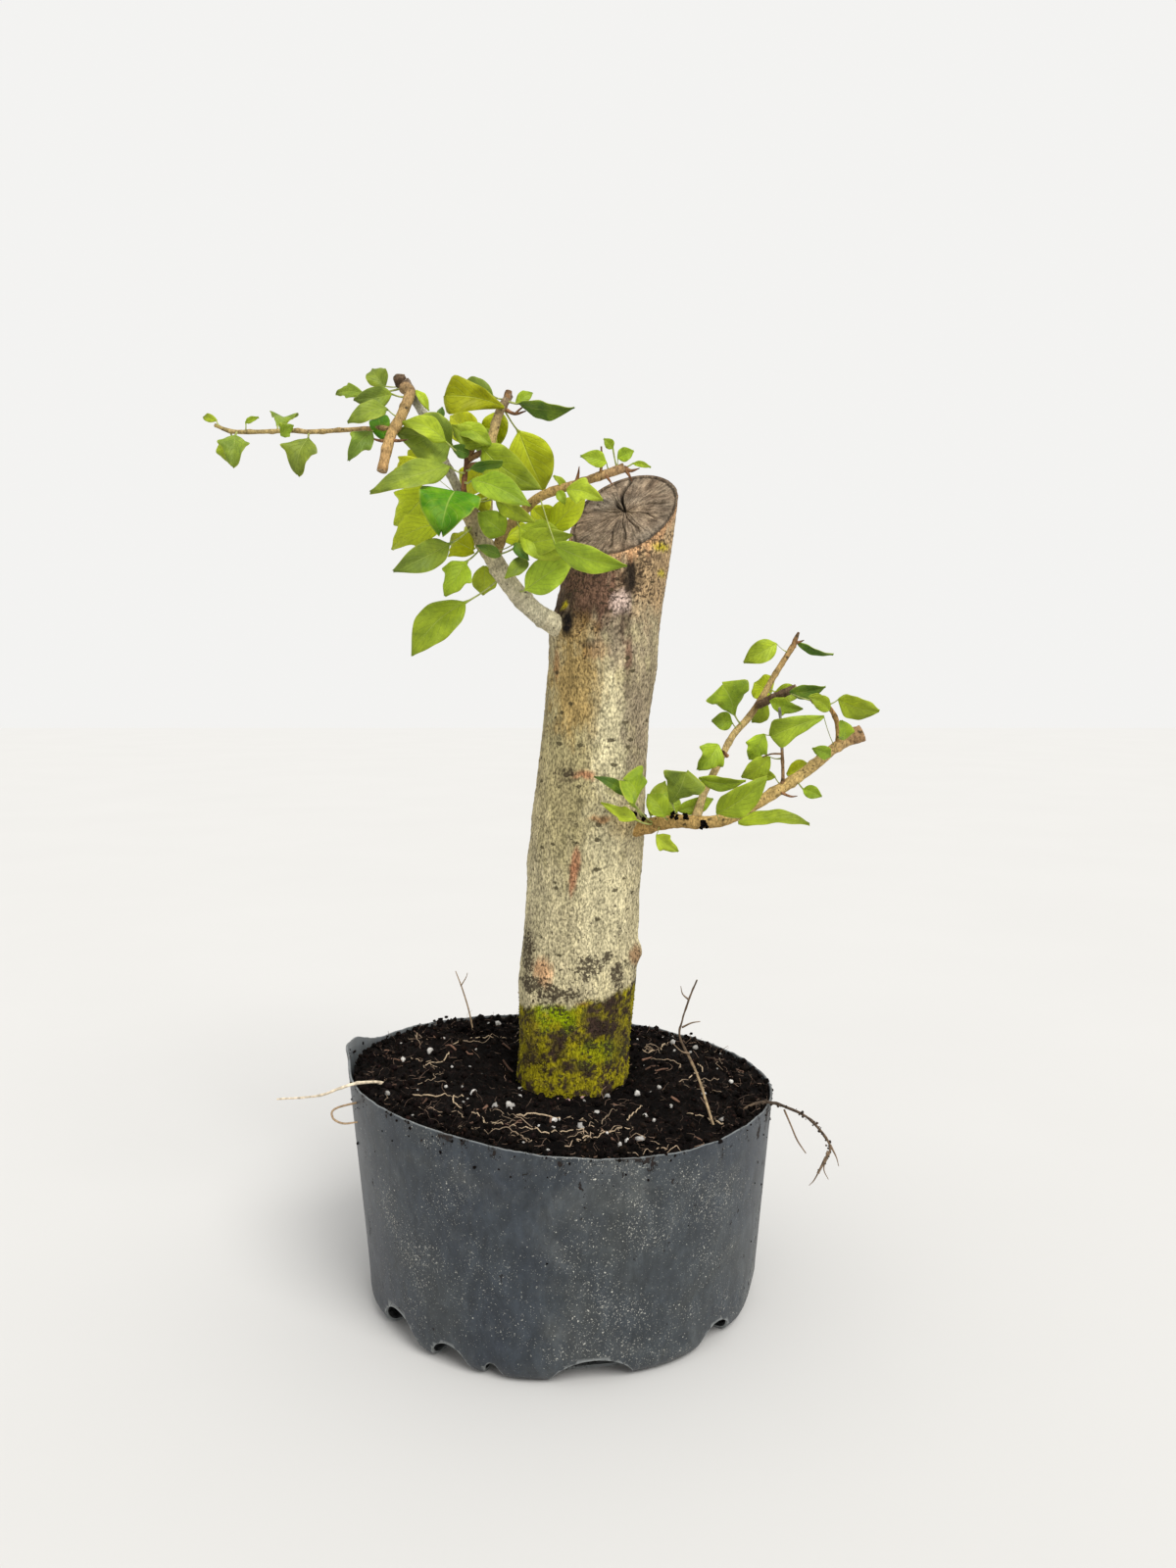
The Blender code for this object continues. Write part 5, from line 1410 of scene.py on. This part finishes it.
# Painted colours along a branch: (share of its length, linear colour).
STEM_COLOURS = {
    "left_branch": ((0, (0.46, 0.40, 0.25)), (0.3, (0.54, 0.49, 0.34)), (0.6, (0.50, 0.44, 0.29)),
                    (0.85, (0.46, 0.38, 0.22)), (1, (0.30, 0.20, 0.10))),
    "left_twig": ((0, (0.26, 0.12, 0.05)), (0.6, (0.20, 0.09, 0.045)), (1, (0.12, 0.06, 0.035))),
    "bent_branch": ((0, (0.40, 0.34, 0.20)), (0.3, (0.42, 0.38, 0.27)), (0.8, (0.48, 0.45, 0.38)),
                    (1, (0.16, 0.11, 0.07))),
    "cut_stub": ((0, (0.28, 0.18, 0.09)), (0.4, (0.42, 0.28, 0.11)), (1, (0.40, 0.24, 0.10))),
    "long_twig": ((0, (0.30, 0.19, 0.08)), (0.5, (0.40, 0.29, 0.12)), (1, (0.34, 0.26, 0.10))),
    "upper_shoot": ((0, (0.40, 0.30, 0.13)), (0.7, (0.44, 0.32, 0.13)), (1, (0.22, 0.16, 0.11))),
    "side_shoot": ((0, (0.36, 0.25, 0.10)), (0.6, (0.40, 0.26, 0.09)), (1, (0.38, 0.24, 0.12))),
    "right_branch": ((0, (0.42, 0.25, 0.08)), (0.35, (0.52, 0.34, 0.12)), (0.75, (0.52, 0.37, 0.14)),
                     (1, (0.46, 0.30, 0.13))),
    "right_shoot": ((0, (0.46, 0.34, 0.16)), (0.55, (0.44, 0.32, 0.13)), (0.66, (0.16, 0.09, 0.04)),
                    (0.72, (0.42, 0.30, 0.12)), (1, (0.36, 0.22, 0.09))),
    "end_twig": ((0, (0.36, 0.22, 0.08)), (1, (0.28, 0.15, 0.06))),
    "thin_twig": ((0, (0.26, 0.15, 0.07)), (0.45, (0.26, 0.16, 0.08)), (0.55, (0.16, 0.15, 0.13)),
                  (1, (0.20, 0.19, 0.16))),
    "root_left": ((0, (0.54, 0.42, 0.28)), (0.4, (0.70, 0.60, 0.45)), (1, (0.66, 0.55, 0.40))),
    "root_right": ((0, (0.16, 0.11, 0.07)), (0.35, (0.06, 0.042, 0.03)), (1, (0.20, 0.14, 0.09))),
    "root_standing": ((0, (0.40, 0.29, 0.17)), (0.35, (0.36, 0.26, 0.15)), (0.55, (0.12, 0.08, 0.05)),
                      (1, (0.10, 0.07, 0.045))),
    "dead": ((0, (0.10, 0.06, 0.035)), (1, (0.13, 0.085, 0.05))),
    "warm": ((0, (0.40, 0.25, 0.11)), (1, (0.36, 0.22, 0.11))),
    "twig": ((0, (0.30, 0.17, 0.07)), (1, (0.14, 0.08, 0.04))),
    "thorn": ((0, (0.32, 0.17, 0.08)), (1, (0.12, 0.05, 0.025))),
}
STEM_FLECKS = 0.3
ROOT_CRUMBS = 90
ROOT_SLIMMING = 0.7             # of the plain CAD roots' thickness
# Node rings every this far along, and how much they swell: by the branch's kind.
KNOT_STEP = {"left_branch": 15, "right_branch": 13, "bent_branch": 11, "right_shoot": 13, "side_shoot": 12}


def stem_colour(name, share):
    stops = STEM_COLOURS[name]
    marks = [stop for stop, _ in stops]
    return [float(np.interp(share, marks, [colour[k] for _, colour in stops])) for k in range(3)]


def add_stem(shape, name, path, rng, sides=20, step=1.1 * MM, knots=0, flare=0.0, rough=0.05, slot=0):
    """One branch: knots along it, a collar where it starts and a sawn end."""
    path, marks = evened(path, step)
    spacing = KNOT_STEP.get(name, 10) * MM
    rings = [spacing * (k + 0.5 + rng.uniform(-0.2, 0.2)) for k in range(int(marks[-1] / spacing) + 1)]

    def skin(distance, angle, centre):
        scale = 1 + rough * noise.noise(centre * 160 + Vector((0, 0, angle)))
        spot = Vector((math.cos(angle) * 2, math.sin(angle) * 2, distance * 500))
        scale += rough * 1.2 * noise.noise(spot)
        for k, ring in enumerate(rings):
            near = (distance - ring) / (1.5 * MM)
            if abs(near) < 3:
                one_sided = 1 + 0.8 * math.cos(angle - math.pi * k)
                scale += knots * math.exp(-near * near) * one_sided
        return scale + flare * math.exp(-distance / (4.5 * MM))

    made = swept(path, sides, skin, marks)
    end = made[-1]
    middle = sum(end, Vector()) / sides
    ahead = (middle - sum(made[-3], Vector()) / sides).normalized()
    made.append([middle.lerp(point, 0.86) + ahead * 0.15 * MM for point in end])
    made.append([middle.lerp(point, 0.4) - ahead * 0.12 * MM for point in end])
    tints = []
    for k in range(len(made)):
        share = min(1.0, k / (len(path) - 1))
        colour = stem_colour(name, share)
        for i in range(sides):
            light = 1 + 0.22 * noise.noise(made[k][i] * 260)
            for ring in rings:
                if k < len(marks) and abs(marks[k] - ring - 1.2 * MM) < 0.9 * MM:
                    light *= 0.72
            tints.append((*(c * light for c in colour), STEM_FLECKS))
    last = len(path) - 1
    for k in range(len(made) - 2, len(made)):
        for i in range(sides):
            tints[k * sides + i] = (1.0, 0.9, 0.75) if k == len(made) - 1 else (0.8, 0.7, 0.55)
    shape.loft(made, tint=tints, slot=slot, end_slot=1, slot_of=lambda row, _: 1 if row > last else slot)


def make_stems(materials):
    rng = random.Random(SEED + 2)
    skins = {"pale_bark": "pale", "warm_bark": "warm", "twig_bark": "twig"}
    for shoot in SHOOTS:
        shape = Shape()
        path = placed(shoot.points, side_root(shoot.side))
        thick = float(path[:, 3].mean())
        main = shoot.parent == "trunk"
        add_stem(shape, shoot.name, path, rng, sides=26 if main else 16, step=0.9 * MM,
                 knots=0.10 if thick > 1.5 * MM else 0.22, flare=0.45 if main else 0.3, rough=0.07)
        shape.build(shoot.name + "_skin", [materials[skins[shoot.colour]], materials["cut"]], shoot.colour,
                    [shoot.name])
    for side in ("left", "right"):
        shape = Shape()
        for spur in SPURS:
            if spur.side == side:
                path = placed(spur.points, side_root(side), 6)
                add_stem(shape, spur.kind, path, rng, sides=12, step=0.6 * MM, knots=0.0,
                         rough=0.22 if spur.kind == "dead" else 0.1)
        shape.build(side + "_buds_and_thorns", [materials["twig"], materials["cut"]], "twig_bark")


# Clumps of soil on the right branch: (x, y, z, size) in mm from the side's root.
CLODS = (
    (-1, -6, 8, 2.6), (4, -9, 7, 2.2), (19, -13, 8.5, 2.8), (33, -16, 4.6, 2.6), (24, -14, 8, 1.6),
)


def make_clods(materials):
    """Dark clumps of soil that cling to the right branch."""
    rng = random.Random(SEED + 3)
    root = side_root("right")
    shape = Shape()
    for x, y, z, size in CLODS:
        for _ in range(16):
            off = Vector([rng.uniform(-0.6, 0.6) * size for _ in range(3)])
            shade = rng.uniform(0.4, 1.0)
            add_lump(shape, rng, root + (Vector((x, y, z)) + off) * MM, rng.uniform(0.5, 1.3) * MM,
                     (shade, shade * 0.85, shade * 0.7), 0.35)
    shape.build("branch_clods", [materials["peat"]], "peat", sharp=180)


def make_roots(materials):
    rng = random.Random(SEED + 4)
    origin = Vector((0, 0, SOIL_LEVEL))
    for name, points in ROOTS:
        shape = Shape()
        path = placed(points, origin)
        path[:, 3] *= ROOT_SLIMMING
        add_stem(shape, name, path, rng, sides=12, step=0.8 * MM, knots=0.2, rough=0.25)
        if name == "root_right":
            for _ in range(ROOT_CRUMBS):
                row = path[rng.randrange(len(path) // 4, len(path))]
                off = Vector([rng.gauss(0, 0.7 * MM) for _ in range(3)])
                shade = rng.uniform(0.03, 0.09)
                add_lump(shape, rng, Vector(row[:3]) + off, rng.uniform(0.3, 0.9) * MM,
                         (shade, shade * 0.7, shade * 0.5), 0.35)
        shape.build(name + "_skin", [materials["root"], materials["root"]], "root_skin", [name])
    shape = Shape()
    for points in ROOTLETS:
        rows = np.array(points, float) * MM
        rows[:, 2] += SOIL_LEVEL
        add_strand(shape, rows, 7, (0.34, 0.24, 0.145) if rows[0][0] < 0 else (0.20, 0.14, 0.09), 6)
    for points in SURFACE_ROOTS:
        rows = smooth_path([(x * MM, y * MM, 0, rng.uniform(0.2, 0.42) * MM) for x, y in points], 7)
        found = []
        for x, y, _, radius in rows:
            spot = Vector((x, y, 0)) * 240
            x, y = x + 0.9 * MM * noise.noise(spot), y + 0.9 * MM * noise.noise(spot + Vector((5, 5, 5)))
            found.append((x, y, ground(x, y) + radius * 1.5, radius))
        add_strand(shape, found, 6, (0.50, 0.38, 0.25), 1)
    shape.build("rootlets", [materials["root"]], "root_skin", sharp=180)


# ---- leaves ----

def nearest_on(path, point):
    best = None
    for start, end in zip(path, path[1:-1]):
        run = end - start
        share = np.clip(np.dot(point - start[:3], run[:3]) / np.dot(run[:3], run[:3]), 0, 1)
        found = start + share * run
        gap = np.linalg.norm(point - found[:3])
        if best is None or gap < best[0]:
            best = (gap, Vector(found[:3]), found[3])
    return best[1], best[2]


def leaf_frame(base, tip, roll):
    along = (tip - base).normalized()
    out = (Vector((0, -1, 0)) - along * -along.y).normalized()
    out = Matrix.Rotation(math.radians(roll), 3, along) @ out
    return along, along.cross(out), out


def blade_point(leaf, sizes, t, s, phase, bend):
    """A point of the blade in its own frame: across, along and out, in metres."""
    length, half_width, widths, sweep = sizes
    width = max(PETIOLE_WIDTH / 2, half_width * float(np.interp(t, widths[:, 0], widths[:, 1])))
    fold = math.radians(leaf.fold) * BLADE_FOLD
    bent = math.sqrt(s * s + MIDRIB_ROUNDING) - 0.11    # a fold that is round at the midrib
    lobe = abs(s) ** 1.6
    across = s * width * math.cos(fold) + length * bend * math.sin(math.pi * t)
    along = length * (t + sweep * (width / half_width) * lobe * (0 < t < 1))
    out = bent * width * math.sin(fold) - half_width * EDGE_CURL * s ** 4
    out += length * (BLADE_ARCH * 4 * t * (1 - t) - BLADE_DROOP * t ** 3)
    out += half_width * BROAD_WAVE * math.sin(8 * t + phase + (1.7 if s > 0 else 0)) * s * s
    out += half_width * FINE_WAVE * math.sin(19 * t + 2 * phase) * abs(s) ** 3
    return across, along, out


def make_leaf(leaf, path, materials, replaced):
    root = side_root(leaf.side)
    base = root + Vector(leaf.base) * MM
    tip = root + Vector(leaf.tip) * MM
    name = leaf.side + "_" + leaf.name
    along, across, out = leaf_frame(base, tip, leaf.roll + TURNED.get(name, 0))
    rng = random.Random(name)
    phase = rng.uniform(0, 6.28)
    bend = rng.uniform(-0.06, 0.06)
    twig, radius = nearest_on(path, np.array(base))
    start = twig + (base - twig).normalized() * radius * 0.7
    outline, sweep = OUTLINES[leaf.outline]
    widths = smooth_path(outline, 6)
    length = (tip - base).length
    sizes = (length, leaf.width / 2 * MM, widths, sweep)
    columns = BLADE_COLUMNS
    across_steps = [k / columns for k in range(-columns, columns + 1)]
    rings, uvs = [], []
    count = 2 * len(across_steps)
    sag = min(1.5 * MM, (base - start).length * 0.12)
    middle = start.lerp(base, 0.5) - Vector((0, 0, sag)) + along * 0.3 * MM
    for k in range(STALK_STATIONS):
        t = k / STALK_STATIONS
        centre = start * (1 - t) ** 2 + middle * 2 * t * (1 - t) + base * t * t
        thick = PETIOLE_WIDTH / 2 * (1.15 - 0.35 * math.sin(math.pi * t))
        ring = []
        for i in range(count):
            angle = math.pi - 2 * math.pi * (i + 0.5) / count
            ring.append(centre + (across * math.cos(angle) + out * math.sin(angle)) * thick)
        rings.append(ring)
        uvs += [(0, 0.5)] * count
    for k in range(BLADE_STATIONS + 1):
        t = k / BLADE_STATIONS
        row = []
        for s in across_steps:
            a, b, c = blade_point(leaf, sizes, t, s, phase, bend)
            row.append(base + across * a + along * b + out * c)
        thick = LEAF_THICKNESS / 2
        middle_rib = [1 + 1.6 * math.exp(-(s * 5) ** 2) * (1 - t) for s in across_steps]
        rings.append([point + out * thick for point in row]
                     + [point - out * thick * rib for point, rib in zip(row[::-1], middle_rib[::-1])])
        line = [(t, 0.5 + s / 2) for s in across_steps]
        uvs += line + line[::-1]
    colour = TINTS["mid"]
    for tint, names in TINTED.items():
        if name in names.split():
            colour = TINTS[tint]
    light = rng.uniform(0.86, 1.14)
    warm = rng.uniform(0.94, 1.12)
    tints = []
    for k in range(len(rings)):
        t = max(0.0, (k - STALK_STATIONS) / BLADE_STATIONS)
        shade = light * (1.08 - 0.16 * t)
        blade = (colour[0] * shade * warm, colour[1] * shade, colour[2] * shade)
        tints += [STALK_COLOUR if k < STALK_STATIONS else blade] * count
    half = len(across_steps)

    def slot_of(row, i):
        if row < STALK_STATIONS:
            return 2
        return 0 if i < half - 1 else 1

    shape = Shape()
    shape.loft(rings, tint=tints, uvs=uvs, slot_of=slot_of)
    names = ["leaf_" + name] if replaced else []
    shape.build("blade_" + name, [materials["leaf"], materials["leaf_back"], materials["stalk"]],
                "leaf_green", names, sharp=70)


def make_leaves(materials):
    paths = {shoot.name: placed(shoot.points, side_root(shoot.side), 4) for shoot in SHOOTS}
    for leaf in LEAVES:
        make_leaf(leaf, paths[leaf.twig], materials, True)
    for leaf in SMALL_LEAVES:
        make_leaf(leaf, paths[leaf.twig], materials, False)


# ---- stage ----

def make_stage(paint):
    mesh = bpy.data.meshes.new("floor")
    size = FLOOR_SIZE
    corners = [(-size, -size, 0), (size, -size, 0), (size, size, 0), (-size, size, 0)]
    mesh.from_pydata(corners, [], [(0, 1, 2, 3)])
    mesh.materials.append(paint)
    floor = bpy.data.objects.new("floor", mesh)
    bpy.context.scene.collection.objects.link(floor)
    floor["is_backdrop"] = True


def make_lights():
    world = bpy.data.worlds.new("studio")
    world.use_nodes = True
    background = world.node_tree.nodes["Background"]
    background.inputs["Color"].default_value = (1.0, 0.995, 0.98, 1)
    background.inputs["Strength"].default_value = WORLD_LIGHT
    bpy.context.scene.world = world
    light = bpy.data.lights.new("sun", "SUN")
    light.energy = SUN_POWER
    light.angle = math.radians(SUN_SPREAD)
    light.color = (1.0, 0.985, 0.95)
    sun = bpy.data.objects.new("sun", light)
    sun.rotation_euler = Vector(SUN_FROM).to_track_quat("Z", "Y").to_euler()
    bpy.context.scene.collection.objects.link(sun)


def make_camera():
    camera = bpy.data.cameras.new("camera")
    camera.sensor_width = 36
    camera.lens = CAMERA_LENS
    obj = bpy.data.objects.new("camera", camera)
    obj.location = CAMERA_AT
    obj.rotation_euler = (math.radians(CAMERA_TILT), 0, 0)
    bpy.context.scene.collection.objects.link(obj)
    bpy.context.scene.camera = obj


def main():
    bpy.context.scene.view_settings.view_transform = "Standard"
    make_camera()
    make_lights()
    make_stage(stage_paint())
    materials = {
        "pot": pot_plastic(),
        "peat": peat(),
        "perlite": dry("perlite_white", 700, 0.3 * MM),
        "fibre": dry("peat_fibre", 900, 0.1 * MM),
        "moss": dry("moss_green", 1100, 0.3 * MM, 0.95),
        "root": dry("root_skin", 700, 0.25 * MM),
        "trunk": bark("trunk_bark", 900, 0.85, 0.03, 0.32 * MM, 0.9),
        "pale": bark("pale_bark", 1000, 0.5, 0.02, 0.14 * MM, 0.8),
        "warm": bark("warm_bark", 1000, 0.55, 0.03, 0.14 * MM, 0.8),
        "twig": bark("twig_bark", 1200, 0.5, 0.02, 0.1 * MM, 0.75),
        "sawn": end_grain("sawn_wood", srgb(146, 130, 110), srgb(96, 82, 68)),
        "cut": end_grain("cut_wood", (0.46, 0.36, 0.23), (0.26, 0.18, 0.11)),
        "leaf": leaf_skin("leaf_face", 1.0, 0.48),
        "leaf_back": leaf_skin("leaf_back", 1.12, 0.62),
        "stalk": dry("leaf_stalk", 500, 0.08 * MM, 0.55),
    }
    make_pot(materials)
    make_soil(materials)
    make_litter(materials)
    make_rim_crumbs(materials)
    make_trunk(materials)
    make_moss(materials)
    make_stems(materials)
    make_clods(materials)
    make_roots(materials)
    make_leaves(materials)
    bpy.context.view_layer.update()
    boxes = {"cad": CAD_BOX, "visual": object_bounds()}
    {name: [list(map(float, corner)) for corner in box] for name, box in boxes.items()}


main()
